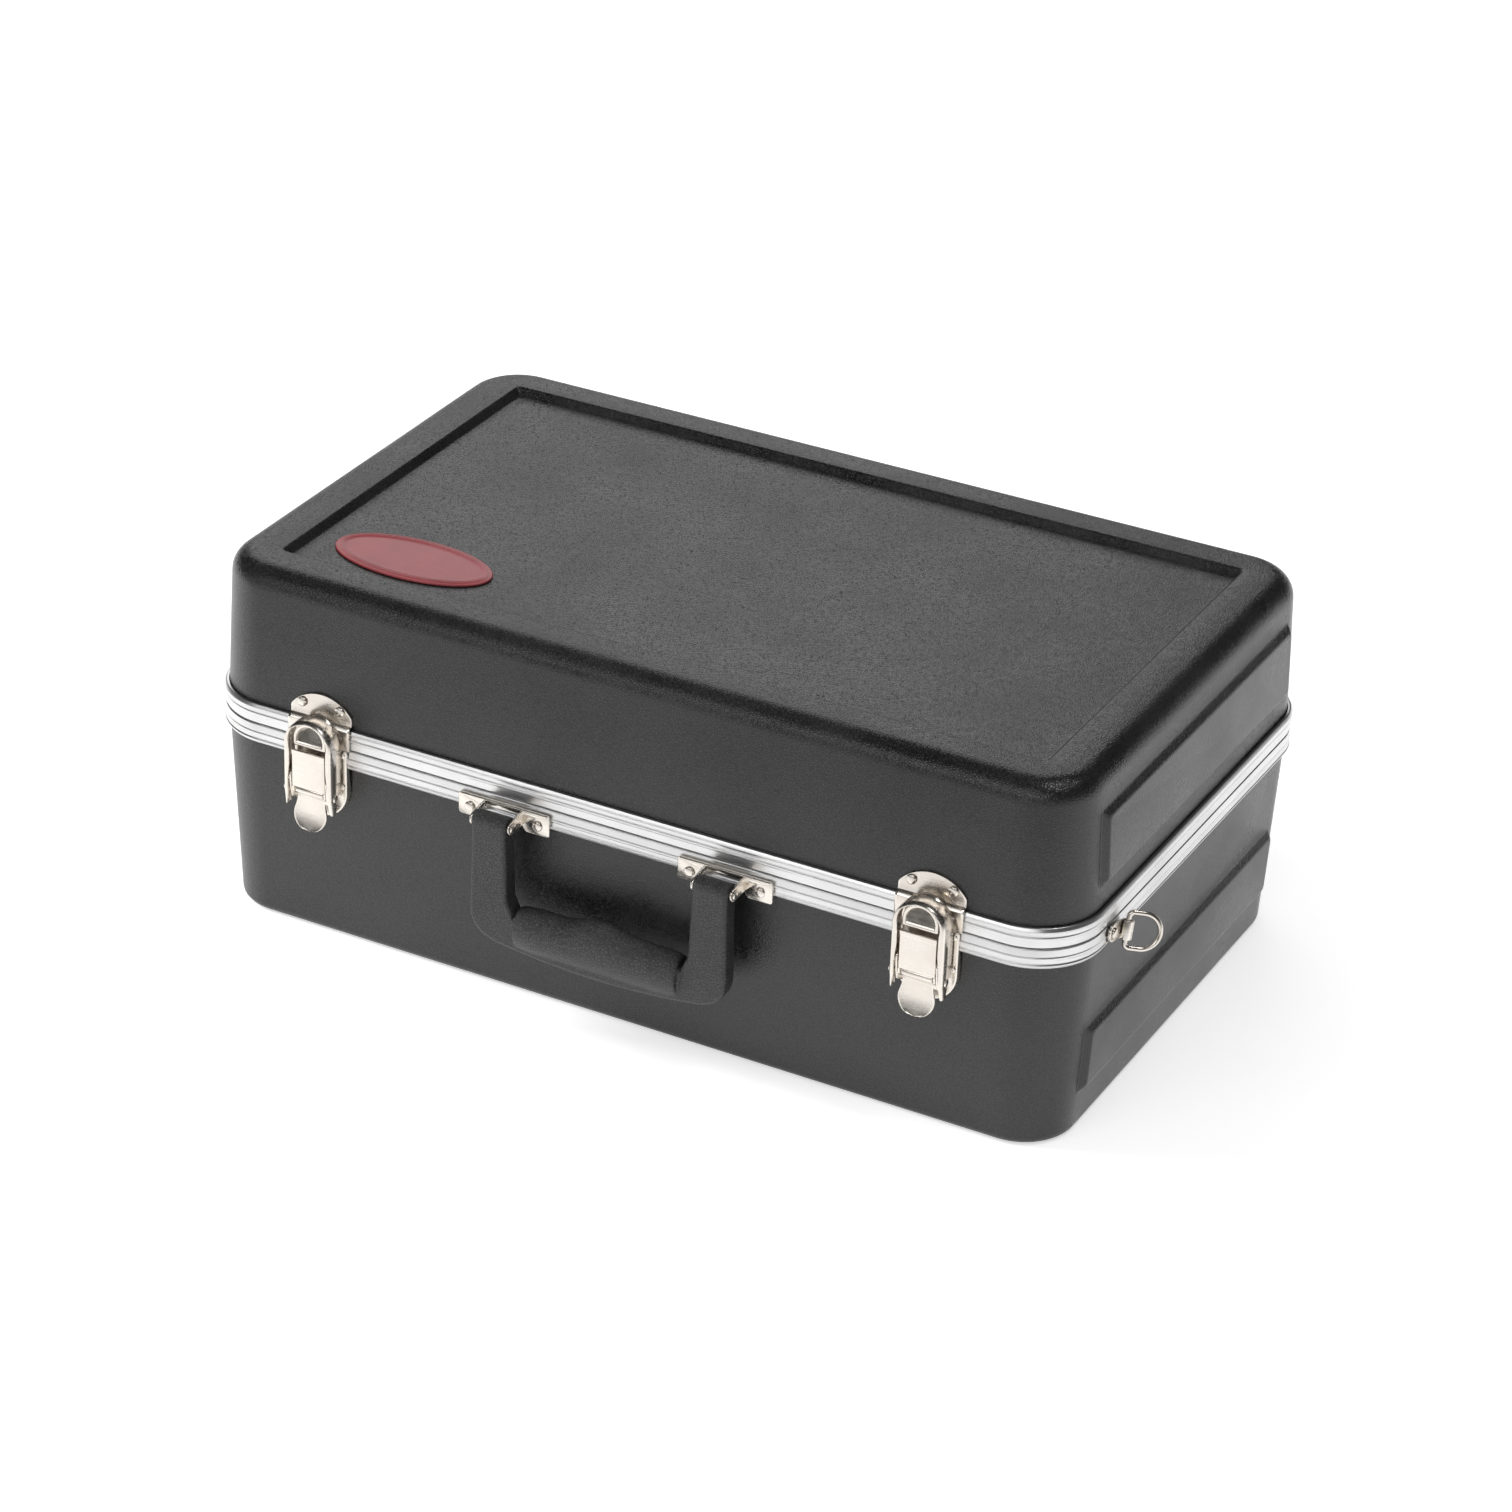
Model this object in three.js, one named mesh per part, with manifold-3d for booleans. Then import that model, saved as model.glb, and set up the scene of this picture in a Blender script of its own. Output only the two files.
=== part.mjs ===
// Cornet case: two moulded shells joined by an aluminium edge band, two draw latches,
// a carrying handle, two strap rings, a rear pair of hinges and a fitted inside.
// Millimetres, +Z up, +X along the length. The front, with its latches, faces -Y.
// The origin is the middle of the flat underside.

import * as THREE from 'three';
import { mergeVertices } from 'three/addons/utils/BufferGeometryUtils.js';
import Module from 'manifold-3d';

const wasm = await Module();
wasm.setup();

// Whole case, measured over the edge band
const caseLength = 419;
const caseWidth = 254;
const baseHeight = 98; // underside to the split
const lidHeight = 72.5; // split to the top
const cornerRadius = 31; // corners of the band, seen from above
const splitGap = 0.3; // daylight between the two bands
const clearance = 0.3; // between parts that move on each other
const seatGap = 0.2; // between a part and the face it is riveted to
const overrun = 1; // how far a cutter runs past the face it leaves

// Edge band, one half above and one below the split
const bandHeight = 9.4;
const bandSkin = 2.2;
const bandDish = 0.5; // depth of the flutes between its raised lines
const bandLine = 0.9; // width of a raised line
const baseFlangeReach = 8.2; // inward, from the face of the band
const baseFlangeThickness = 1.9;
const lidFlangeReach = 8.6;
const lidFlangeRoof = 1.2; // metal over the groove
const ribHeight = 2.7; // locating rib of the base band, above the split
const ribFootWidth = 1.6;
const ribTipWidth = 0.8;
const ribInset = 6; // its middle, from the face of the band

// Moulded shells
const shellWall = 2.8;
const bandProud = 2.5; // band face in front of the shell face
const lidDraftDegrees = 2.2;
const baseDraftDegrees = 2.7;
const lidEdgeRadius = 10;
const baseEdgeRadius = 4;
const sunkPanelLength = 363; // the panel sunk into the top of the lid
const sunkPanelWidth = 201;
const sunkPanelDepth = 3.5;
const sunkPanelSlope = 2.6; // how far its sides lean in on the way down

// Raised pads on both ends of the shells
const padHalfWidth = 97;
const padProud = 2.7;
const padSideSlope = 2.7;
const padTopSlope = 3.9;
const lidPadLow = 20; // above the split
const lidPadHigh = 54.5;
const basePadLow = 79; // below the split
const basePadHigh = 47.2;

// Oval plate in the front left corner of the sunken panel
const badgeLength = 78;
const badgeWidth = 38.5;
const badgeThickness = 1.3;
const badgeRim = 0.4;
const badgeFromCentreX = 131;
const badgeFromCentreY = 74;

// Latches
const latchSpacing = 292; // middle to middle
const latchSheet = 1; // plates riveted to the case
const keeperHalfWidth = 15.3;
const keeperHeight = 22.4; // above the split
const keeperArchRadius = 19;
const bossRadius = 7.2;
const bossLipRadius = 8.1;
const bossLipThickness = 0.8;
const bossFront = 8.6; // outward, from the face of the band
const bossDish = 0.7;
const bossFlat = 1.2; // height of its flat underside over the split
const bossCentre = 4.4; // height of the middle of its round top
const keeperRivetSpacing = 19;
const keeperRivetHeight = 17.1;
const plateHalfWidth = 14.2;
const plateCurveStart = 20.7; // below the split, where the round foot of the plate starts
const plateRivetHalfSpacing = 12.2;
const plateRivetDrop = 17.4; // below the split
const plateRivetHeadRadius = 1.4;
const plateRivetHeadHeight = 0.7;
const plateRivetShankRadius = 0.8;
const plateDimpleDrop = 2.6; // pressed into the upper corners of the plate
const earSheet = 0.8;
const earOuter = 10.6;
const earRadius = 2.6;
const earFootRise = 3.8;
const pivotOut = 7.6; // lever pivot, outward from the band and below the split
const pivotDrop = 14.2;
const pivotRadius = 1.2;
const jointOut = 7.4; // lever to link joint
const jointDrop = 20.6;
const jointPinRadius = 0.9;
const jointPinHeadRadius = 1.8;
const jointPinHeadThickness = 0.6;
const barrelRadius = 1.9;
const barrelHalfLength = 6.4;
const leverCheekOuter = 9.5;
const leverCheekSheet = 0.7;
const leverPivotBoss = 2.3;
const leverJointBoss = 1.9;
const leverBridgeDrop = 25.2;
const leverBridgeRise = 2.2;
const tongueSheet = 1;
const tongueSet = 1.2; // its back face behind the joint
const tongueCurl = 3.4; // how far its tip curls outward
const tongueHalfWidth = 6.3;
const tongueTipRadius = 8.2;
const tongueTipDrop = 40.2;
const hoopSheet = 1.3;
const hoopOuter = 12.2;
const hoopBack = 2.6;
const hoopFront = 10;
const hoopFootDrop = 30;
const hoopFootWidth = 2;
const hoopHeelDrop = 17;
const hoopToeDrop = 21.5;
const coverHalfWidth = 8.5;
const coverSheet = 0.9;
const coverFront = 10;
const coverTopDrop = 0.6;
const coverCornerRadius = 1.6;
const coverCheekDepth = 5.4;
const coverCheekDrop = 2.8;

// Handle and its two brackets
const bracketSpacing = 106.2;
const bracketLength = 44.6;
const bracketTopDrop = 2.4;
const bracketHeight = 10.3;
const bracketSheet = 1;
const bracketCornerRadius = 1.6;
const bracketRivetHalfSpacing = 16.7;
const bracketRivetDrop = 8.3;
const bracketStrip = 3.2; // height of the strip over its open window
const bracketTabDrop = 9.5; // where the inner edges of its end tabs start to lean
const bracketTabLean = 2.6;
const bracketEarInner = 8.6;
const bracketEarRadius = 3;
const bracketBead = 0.6; // the folded bead along its top edge
const handlePinOut = 10.5;
const handlePinDrop = 7;
const handlePinRadius = 1.3;
const handlePinHeadRadius = 2.1;
const handlePinHeadThickness = 0.7;
const handlePostTop = 16.4; // width of a post at its pin
const handlePostSpread = 0.6; // how far the post leans out below
const handleThickness = 9;
const handleBevel = 1.6;
const handleDrop = 66.3; // split to the bottom of the hanging handle
const handleArch = 3.6; // sag of its bottom edge between the corners
const handleCornerReach = 13.9; // in from the side, to the end of a corner
const handleShoulderDrop = 48;
const handleWindowHalf = 43.5;
const handleWindowDrop = 41;
const handleNotchHalf = 39.8;
const handleNotchDrop = 49;
const gripHalfLength = 39.3;
const gripTopDrop = 43;
const gripBottomDrop = 63.8;
const gripHalfDepth = 8.3;
const gripHump = 3.6;
const gripHumpHalfLength = 20;
const gripEndShare = 0.35; // how much of its section it loses towards its ends
const gripEndPower = 8;

// Strap rings on the ends
const ringFromCentre = 79; // towards the front
const ringDrop = 6.8;
const ringWireRadius = 1.1;
const ringHeight = 17.6;
const ringDepth = 15;
const ringCorner = 2;
const ringAxisOut = 3;
const ringSwungDegrees = 32; // as it stands, from straight out towards the back
const clipHeight = 8.2;
const clipSheet = 1;
const knuckleWall = 1.2;
const clipRivetFromRing = 9.5;
const clipLeanDegrees = 15; // turned about its rivet, its top towards the back

// Rivets
const rivetHeadRadius = 2.3;
const rivetHeadHeight = 1.2;
const rivetShankRadius = 1.3;

// Rear hinges
const hingeSpacing = 250;
const hingeLength = 44;
const hingeSheet = 1;
const hingeLeafInner = 3;
const hingeLeafOuter = 8.9;
const hingeAxisOut = 3.1;
const hingeBarrelRadius = 2.4;
const hingePinRadius = 1.1;
const hingePinHeadRadius = 2;
const hingePinHeadThickness = 0.8;
const hingeRivetHalfSpacing = 16;
const hingeRivetDrop = 6.1;
const hingeRivetHeadRadius = 2;

// Fitted inside
const fitGap = 0.5; // padding to shell
const insertTopDrop = 7; // below the split
const frontBlockDepth = 71; // from the face of the front band to the bed of the instrument
const pocketCorner = 6;
const bellFromEnd = 22.5; // rim of the bell recess, from the left end
const bellAxisFromBack = 98;
const bellRimHalf = 65;
const bellThroatX = -62;
const bellThroatHalf = 23;
const bellDepth = 66;
const bodyX = -72;
const bodyEndX = 122;
const bodyHalf = 45;
const bodyAxisFromBack = 102;
const bodyDepth = 58;
const valveX = 4;
const valveEndX = 70;
const valveFromFront = 77;
const valveFromBack = 17;
const valveDepth = 46;
const pipeFromEnd = 23.5;
const pipeAxisFromBack = 87;
const pipeHalf = 16;
const pipeDepth = 40;
const rowFromFront = 25; // tray, mouthpiece pockets and accessory box lie in one row
const rowWidth = 36;
const rowDepth = 52; // tray and mouthpiece pockets
const trayFromEnd = 23.5;
const trayLength = 110;
const mouthpieceX = -46;
const mouthpieceStep = 34;
const mouthpieceLength = 26;
const boxFromEnd = 44.5; // lidded accessory box, from the right end
const boxLength = 95;
const boxDepth = 56;
const boxRebate = 5.5;
const boxLidThickness = 4;
const boxLidGap = 0.6;
const tabWidth = 16;
const tabLength = 20;
const tabThickness = 1.2;
const liningThickness = 5;
const liningRimRise = 0.6; // over the flange of the lid band

// Facets
const cornerSteps = 5;
const edgeSteps = 3;
const domeSteps = 2;
const gripStations = 14;
const gripSides = 10;
const curveSteps = 3;
const rivetSides = 8;
const pinSides = 8;
const wireSides = 6;

const halfLength = caseLength / 2;
const halfWidth = caseWidth / 2;
const halfGap = splitGap / 2;
const lidDraft = Math.tan(THREE.MathUtils.degToRad(lidDraftDegrees));
const baseDraft = Math.tan(THREE.MathUtils.degToRad(baseDraftDegrees));
const grooveTop = ribHeight + clearance;
const lidFlangeTop = grooveTop + lidFlangeRoof;
const lidShellRim = lidFlangeTop + clearance;
const baseShellRim = -(halfGap + baseFlangeThickness + clearance);
const bellX = bellFromEnd - halfLength;
const insertJoinY = frontBlockDepth - halfWidth;
const trayX = trayFromEnd - halfLength;
const trayEndX = trayX + trayLength;
const wellsX = mouthpieceX - mouthpieceLength / 2;
const wellsEndX = mouthpieceX + mouthpieceStep + mouthpieceLength / 2;
const blockJoinX = wellsEndX + (wellsX - trayEndX) / 2;
const boxEndX = halfLength - boxFromEnd;
const boxX = boxEndX - boxLength;
const boxY = rowFromFront - halfWidth;
const boxEndY = boxY + rowWidth;
const plainRivet = { head: rivetHeadRadius, rise: rivetHeadHeight, shank: rivetShankRadius };
const hingeRivet = { head: hingeRivetHeadRadius, rise: rivetHeadHeight, shank: rivetShankRadius };
const plateRivet = {
  head: plateRivetHeadRadius,
  rise: plateRivetHeadHeight,
  shank: plateRivetShankRadius,
};

// Materials
function finish(color, roughness, metalness) {
  return new THREE.MeshStandardMaterial({ color, roughness, metalness });
}

const moulded = finish(0x2a2a2b, 0.55, 0);
const aluminium = finish(0xc6c9cc, 0.35, 1);
const nickel = finish(0xcfc6b8, 0.25, 1);
const handleSkin = finish(0x2d2d2e, 0.65, 0);
const redPlate = finish(0xb01f2c, 0.3, 0);
const plush = finish(0x18191d, 0.95, 0);
const leather = finish(0x1d1a18, 0.6, 0);

// The scene: everything hangs from the split plane, which lies at baseHeight
const cornetCase = new THREE.Group();
const split = new THREE.Group();
split.position.z = baseHeight;
cornetCase.add(split);

function toSolid(geometry) {
  const bare = geometry.clone();
  bare.deleteAttribute('normal');
  bare.deleteAttribute('uv');
  const merged = mergeVertices(bare);
  return new wasm.Manifold(new wasm.Mesh({
    numProp: 3,
    vertProperties: merged.attributes.position.array,
    triVerts: new Uint32Array(merged.index.array),
  }));
}

function toGeometry(solid) {
  const mesh = solid.getMesh();
  const geometry = new THREE.BufferGeometry();
  geometry.setAttribute('position', new THREE.BufferAttribute(mesh.vertProperties, 3));
  geometry.setIndex(new THREE.BufferAttribute(mesh.triVerts, 1));
  geometry.computeVertexNormals();
  return geometry;
}

function addPiece(frame, name, shape, material) {
  const geometry = shape.isBufferGeometry ? shape : toGeometry(shape);
  const mesh = new THREE.Mesh(geometry, material);
  mesh.name = name;
  frame.add(mesh);
  return mesh;
}

function joined(solids) {
  return solids.reduce((sum, solid) => sum.add(solid));
}

function without(solid, cutters) {
  return cutters.reduce((rest, cutter) => rest.subtract(cutter), solid);
}

// A closed surface from rows of points, turned so that its faces point out
function surface(points, faces) {
  const flat = points.flatMap((point) => [point.x, point.y, point.z]);
  let volume = 0;
  for (const [a, b, c] of faces) {
    volume += points[a].dot(new THREE.Vector3().crossVectors(points[b], points[c]));
  }
  const turned = volume < 0 ? faces.map(([a, b, c]) => [a, c, b]) : faces;
  const geometry = new THREE.BufferGeometry();
  geometry.setAttribute('position', new THREE.Float32BufferAttribute(flat, 3));
  geometry.setIndex(turned.flat());
  return geometry;
}

function sideFaces(rows, count, closed) {
  const faces = [];
  const last = closed ? rows : rows - 1;
  for (let row = 0; row < last; row += 1) {
    const next = (row + 1) % rows;
    for (let i = 0; i < count; i += 1) {
      const j = (i + 1) % count;
      faces.push([row * count + i, row * count + j, next * count + j]);
      faces.push([row * count + i, next * count + j, next * count + i]);
    }
  }
  return faces;
}

// Rings of equal count, skinned one to the next and closed with flat ends
function loft(rings) {
  const count = rings[0].length;
  const faces = sideFaces(rings.length, count, false);
  const top = (rings.length - 1) * count;
  for (let i = 1; i < count - 1; i += 1) {
    faces.push([0, i + 1, i]);
    faces.push([top, top + i, top + i + 1]);
  }
  return surface(rings.flat(), faces);
}

// Rings that follow each other round and meet again
function loop(rings) {
  return surface(rings.flat(), sideFaces(rings.length, rings[0].length, true));
}

// One ring of the case's plan, moved in from the face of the band
function planRing(inset, height) {
  const radius = cornerRadius - inset;
  const points = [];
  for (const [sideX, sideY, start] of [[1, -1, -1], [1, 1, 0], [-1, 1, 1], [-1, -1, 2]]) {
    for (let step = 0; step <= cornerSteps; step += 1) {
      const angle = (start + step / cornerSteps) * Math.PI / 2;
      points.push(new THREE.Vector3(
        sideX * (halfLength - inset - radius) + radius * Math.cos(angle),
        sideY * (halfWidth - inset - radius) + radius * Math.sin(angle),
        height,
      ));
    }
  }
  return points;
}

function sweepRound(profile) {
  const rings = profile.map(([inset, height]) => planRing(inset, height));
  return loop(rings);
}

// A shape drawn on the front, x along and y up, and pushed outward from its back
function frontPrism(shape, back, front, steps = curveSteps) {
  const depth = front - back;
  const pushed = { depth, bevelEnabled: false, curveSegments: steps };
  const geometry = new THREE.ExtrudeGeometry(shape, pushed);
  geometry.rotateX(Math.PI / 2);
  geometry.translate(0, -back, 0);
  return geometry;
}

// A shape drawn in section, x outward and y up, and pushed along the case
function sectionPrism(shape, left, right, steps = curveSteps) {
  const depth = right - left;
  const pushed = { depth, bevelEnabled: false, curveSegments: steps };
  const geometry = new THREE.ExtrudeGeometry(shape, pushed);
  geometry.rotateX(Math.PI / 2);
  geometry.rotateZ(-Math.PI / 2);
  geometry.translate(right, 0, 0);
  return geometry;
}

function polygon(points) {
  return new THREE.Shape(points.map(([x, y]) => new THREE.Vector2(x, y)));
}

function roundedBox(width, height, radius) {
  const shape = new THREE.Shape();
  const x = width / 2 - radius;
  const y = height / 2 - radius;
  shape.absarc(x, y, radius, 0, Math.PI / 2);
  shape.absarc(-x, y, radius, Math.PI / 2, Math.PI);
  shape.absarc(-x, -y, radius, Math.PI, Math.PI * 1.5);
  shape.absarc(x, -y, radius, Math.PI * 1.5, Math.PI * 2);
  return shape;
}

// A round bar along one axis: x along the case, y out of the front, z up
function bar(axis, radius, from, to, sides = pinSides) {
  const geometry = new THREE.CylinderGeometry(radius, radius, to - from, sides);
  geometry.translate(0, (from + to) / 2, 0);
  if (axis === 'x') geometry.rotateZ(-Math.PI / 2);
  if (axis === 'y') geometry.rotateX(Math.PI);
  if (axis === 'z') geometry.rotateX(Math.PI / 2);
  return geometry;
}

// Holes for the rivets, gathered here and cut when the shells and bands are made
const holes = { lidShell: [], baseShell: [], lidBand: [], baseBand: [] };

function drill(targets, frame, x, z, through, rivet = plainRivet) {
  const radius = rivet.shank + clearance;
  const geometry = bar('y', radius, -through, overrun + latchSheet, rivetSides);
  geometry.translate(x, 0, z);
  frame.updateWorldMatrix(true, false);
  const inSplit = split.matrixWorld.clone().invert().multiply(frame.matrixWorld);
  geometry.applyMatrix4(inSplit);
  for (const target of targets) holes[target].push(toSolid(geometry));
}

// A stem with a domed head, turned to point outward
function domedStem(rivet, seat, tail) {
  const profile = [
    new THREE.Vector2(0, tail),
    new THREE.Vector2(rivet.shank, tail),
    new THREE.Vector2(rivet.shank, seat),
    new THREE.Vector2(rivet.head, seat),
  ];
  for (let step = 1; step <= domeSteps; step += 1) {
    const angle = step / domeSteps * Math.PI / 2;
    const radius = step === domeSteps ? 0 : rivet.head * Math.cos(angle);
    profile.push(new THREE.Vector2(radius, seat + rivet.rise * Math.sin(angle)));
  }
  const geometry = new THREE.LatheGeometry(profile, rivetSides);
  geometry.rotateX(Math.PI);
  return geometry;
}

// Domed rivet whose head sits at a given distance outward
function addRivet(frame, name, x, z, seat, tail, rivet = plainRivet) {
  const piece = addPiece(frame, name, toSolid(domedStem(rivet, seat, tail)), nickel);
  piece.position.set(x, 0, z);
}

// A frame on the front or the back of the case, at the split
function wallFrame(x, onBack) {
  const frame = new THREE.Group();
  frame.position.set(x, onBack ? halfWidth : -halfWidth, 0);
  frame.rotation.z = onBack ? Math.PI : 0;
  split.add(frame);
  return frame;
}

// Shell faces, outward from the band face, at a height over or under the split
function lidFace(height) {
  return -bandProud - Math.max(0, height - bandHeight) * lidDraft;
}

function baseFace(drop) {
  return -bandProud - Math.max(0, drop - bandHeight) * baseDraft;
}

// Section of a shell wall from its rim to the rounded edge of its flat face
function wallSection(rim, reach, face, edge, wall) {
  const section = [[-face(0) + wall, rim], [-face(bandHeight) + wall, bandHeight]];
  const start = reach - edge;
  for (let step = 0; step <= edgeSteps; step += 1) {
    const angle = step / edgeSteps * Math.PI / 2;
    const inset = -face(start) + wall + edge * (1 - Math.cos(angle));
    section.push([inset, start + edge * Math.sin(angle)]);
  }
  return section;
}

function shellSolid(section, up) {
  return toSolid(loft(section.map(([inset, height]) => planRing(inset, up * height))));
}

// A raised pad with sloping edges on one end of a shell
function endPad(side, up, low, high, face) {
  const row = (height, half, proud) => [-1, 1].map((way) => new THREE.Vector3(
    side * (halfLength + face(height) + proud),
    way * half,
    up * height,
  ));
  const ring = (slope, rise, proud) => {
    const a = row(low + Math.sign(high - low) * slope * rise, padHalfWidth - slope, proud);
    const b = row(high - Math.sign(high - low) * slope * rise, padHalfWidth - slope, proud);
    return [a[0], a[1], b[1], b[0]];
  };
  const rise = padTopSlope / padSideSlope;
  const sunk = -shellWall / 2;
  return toSolid(loft([ring(0, rise, sunk), ring(0, rise, 0), ring(padSideSlope, rise, padProud)]));
}

function lidShell() {
  const outer = shellSolid(wallSection(lidShellRim, lidHeight, lidFace, lidEdgeRadius, 0), 1);
  const roof = lidHeight - sunkPanelDepth - shellWall;
  const inner = wallSection(lidShellRim, roof, lidFace, lidEdgeRadius - shellWall, shellWall);
  inner.unshift([inner[0][0], lidShellRim - overrun]);
  const top = (shrink, height) => {
    const x = sunkPanelLength / 2 - shrink;
    const y = sunkPanelWidth / 2 - shrink;
    return [[-x, -y], [x, -y], [x, y], [-x, y]].map(([px, py]) => new THREE.Vector3(px, py, height));
  };
  const slope = sunkPanelSlope / sunkPanelDepth;
  const panel = loft([
    top(sunkPanelSlope, lidHeight - sunkPanelDepth),
    top(-overrun * slope, lidHeight + overrun),
  ]);
  const pads = [-1, 1].map((side) => endPad(side, 1, lidPadLow, lidPadHigh, lidFace));
  return without(joined([outer, ...pads]), [shellSolid(inner, 1), toSolid(panel), ...holes.lidShell]);
}

function baseShell() {
  const outer = wallSection(-baseShellRim, baseHeight, baseFace, baseEdgeRadius, 0);
  const floor = baseHeight - shellWall;
  const inner = wallSection(-baseShellRim, floor, baseFace, baseEdgeRadius, shellWall);
  inner.unshift([inner[0][0], -baseShellRim - overrun]);
  const pads = [-1, 1].map((side) => endPad(side, -1, basePadLow, basePadHigh, baseFace));
  return without(joined([shellSolid(outer, -1), ...pads]), [shellSolid(inner, -1), ...holes.baseShell]);
}

// The outside of one band half: a lip at each edge and a line along its middle
function bandOutside() {
  const middle = bandHeight / 2;
  return [
    [0, halfGap],
    [0, bandLine],
    [bandDish, bandLine + bandDish],
    [bandDish, middle - bandLine / 2 - bandDish],
    [0, middle - bandLine / 2],
    [0, middle + bandLine / 2],
    [bandDish, middle + bandLine / 2 + bandDish],
    [bandDish, bandHeight - bandLine - bandDish],
    [0, bandHeight - bandLine],
    [0, bandHeight - bandDish],
    [bandDish, bandHeight],
    [bandSkin, bandHeight],
  ];
}

function lidBand() {
  const grooveHalf = ribFootWidth / 2 + clearance;
  const section = [
    ...bandOutside(),
    [bandSkin, lidFlangeTop],
    [lidFlangeReach, lidFlangeTop],
    [lidFlangeReach, halfGap],
    [ribInset + grooveHalf, halfGap],
    [ribInset + grooveHalf, grooveTop],
    [ribInset - grooveHalf, grooveTop],
    [ribInset - grooveHalf, halfGap],
  ];
  return without(toSolid(sweepRound(section)), holes.lidBand);
}

function baseBand() {
  const flangeLow = -(halfGap + baseFlangeThickness);
  const section = [
    ...bandOutside().map(([inset, height]) => [inset, -height]),
    [bandSkin, flangeLow],
    [baseFlangeReach, flangeLow],
    [baseFlangeReach, -halfGap],
    [ribInset + ribFootWidth / 2, -halfGap],
    [ribInset + ribTipWidth / 2, ribHeight],
    [ribInset - ribTipWidth / 2, ribHeight],
    [ribInset - ribFootWidth / 2, -halfGap],
  ];
  return without(toSolid(sweepRound(section)), holes.baseBand);
}

function badge() {
  const shape = new THREE.Shape();
  shape.absellipse(0, 0, badgeLength / 2, badgeWidth / 2, 0, Math.PI * 2);
  const rim = badgeRim;
  const plate = new THREE.ExtrudeGeometry(shape, {
    depth: badgeThickness - rim,
    bevelThickness: rim,
    bevelSize: rim,
    bevelOffset: -rim,
    bevelSegments: 1,
    curveSegments: cornerSteps * 4,
  });
  plate.translate(0, 0, rim);
  const keep = new THREE.BoxGeometry(badgeLength + rim, badgeWidth + rim, badgeThickness);
  keep.translate(0, 0, badgeThickness / 2);
  return toSolid(plate).intersect(toSolid(keep));
}

// A sheet that lies on the band and steps back onto the shell behind it
function steppedSheet(face, reach, up) {
  const ledge = bandHeight + seatGap;
  const out = seatGap + latchSheet;
  const points = [
    [seatGap, halfGap],
    [out, halfGap],
    [out, ledge + latchSheet],
    [face(ledge) + out, ledge + latchSheet],
    [face(reach) + out, reach],
    [face(reach) + seatGap, reach],
    [face(ledge) + seatGap, ledge],
    [seatGap, ledge],
  ];
  return polygon(points.map(([x, y]) => [x, up * y]));
}

function dShape(radius) {
  const shape = new THREE.Shape();
  const flat = bossFlat + bossLipRadius - radius;
  shape.moveTo(radius, flat);
  shape.absarc(0, bossCentre, radius, 0, Math.PI);
  shape.lineTo(-radius, flat);
  return shape;
}

// Keeper on the lid: arched plate with a drawn, lipped, D-shaped boss
function keeper() {
  const arch = new THREE.Shape();
  const centre = keeperHeight - keeperArchRadius;
  const turn = Math.acos(keeperHalfWidth / keeperArchRadius);
  arch.moveTo(keeperHalfWidth, halfGap);
  arch.absarc(0, centre, keeperArchRadius, turn, Math.PI - turn);
  arch.lineTo(-keeperHalfWidth, halfGap);
  const section = steppedSheet(lidFace, keeperHeight, 1);
  const sheet = sectionPrism(section, -keeperHalfWidth, keeperHalfWidth);
  const back = lidFace(keeperHeight) - overrun;
  const front = toSolid(frontPrism(arch, back, overrun + latchSheet + seatGap, curveSteps * 2));
  const plate = toSolid(sheet).intersect(front);
  const steps = curveSteps * 2;
  const boss = joined([
    plate,
    toSolid(frontPrism(dShape(bossRadius), seatGap, bossFront, steps)),
    toSolid(frontPrism(dShape(bossLipRadius), bossFront - bossLipThickness, bossFront, steps)),
  ]);
  const dished = dShape(bossRadius - bossLipThickness);
  const dish = frontPrism(dished, bossFront - bossDish, bossFront + overrun, steps);
  const drills = [-1, 1].map((side) => {
    const hole = bar('y', rivetShankRadius + clearance, back, overrun + latchSheet, rivetSides);
    hole.translate(side * keeperRivetSpacing / 2, 0, keeperRivetHeight);
    return toSolid(hole);
  });
  return without(boss, [toSolid(dish), ...drills]);
}

function plateOutline(inset) {
  const shape = new THREE.Shape();
  const half = plateHalfWidth - inset;
  shape.moveTo(half, -halfGap - inset);
  shape.lineTo(-half, -halfGap - inset);
  shape.absarc(0, -plateCurveStart, half, Math.PI, Math.PI * 2);
  return shape;
}

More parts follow.
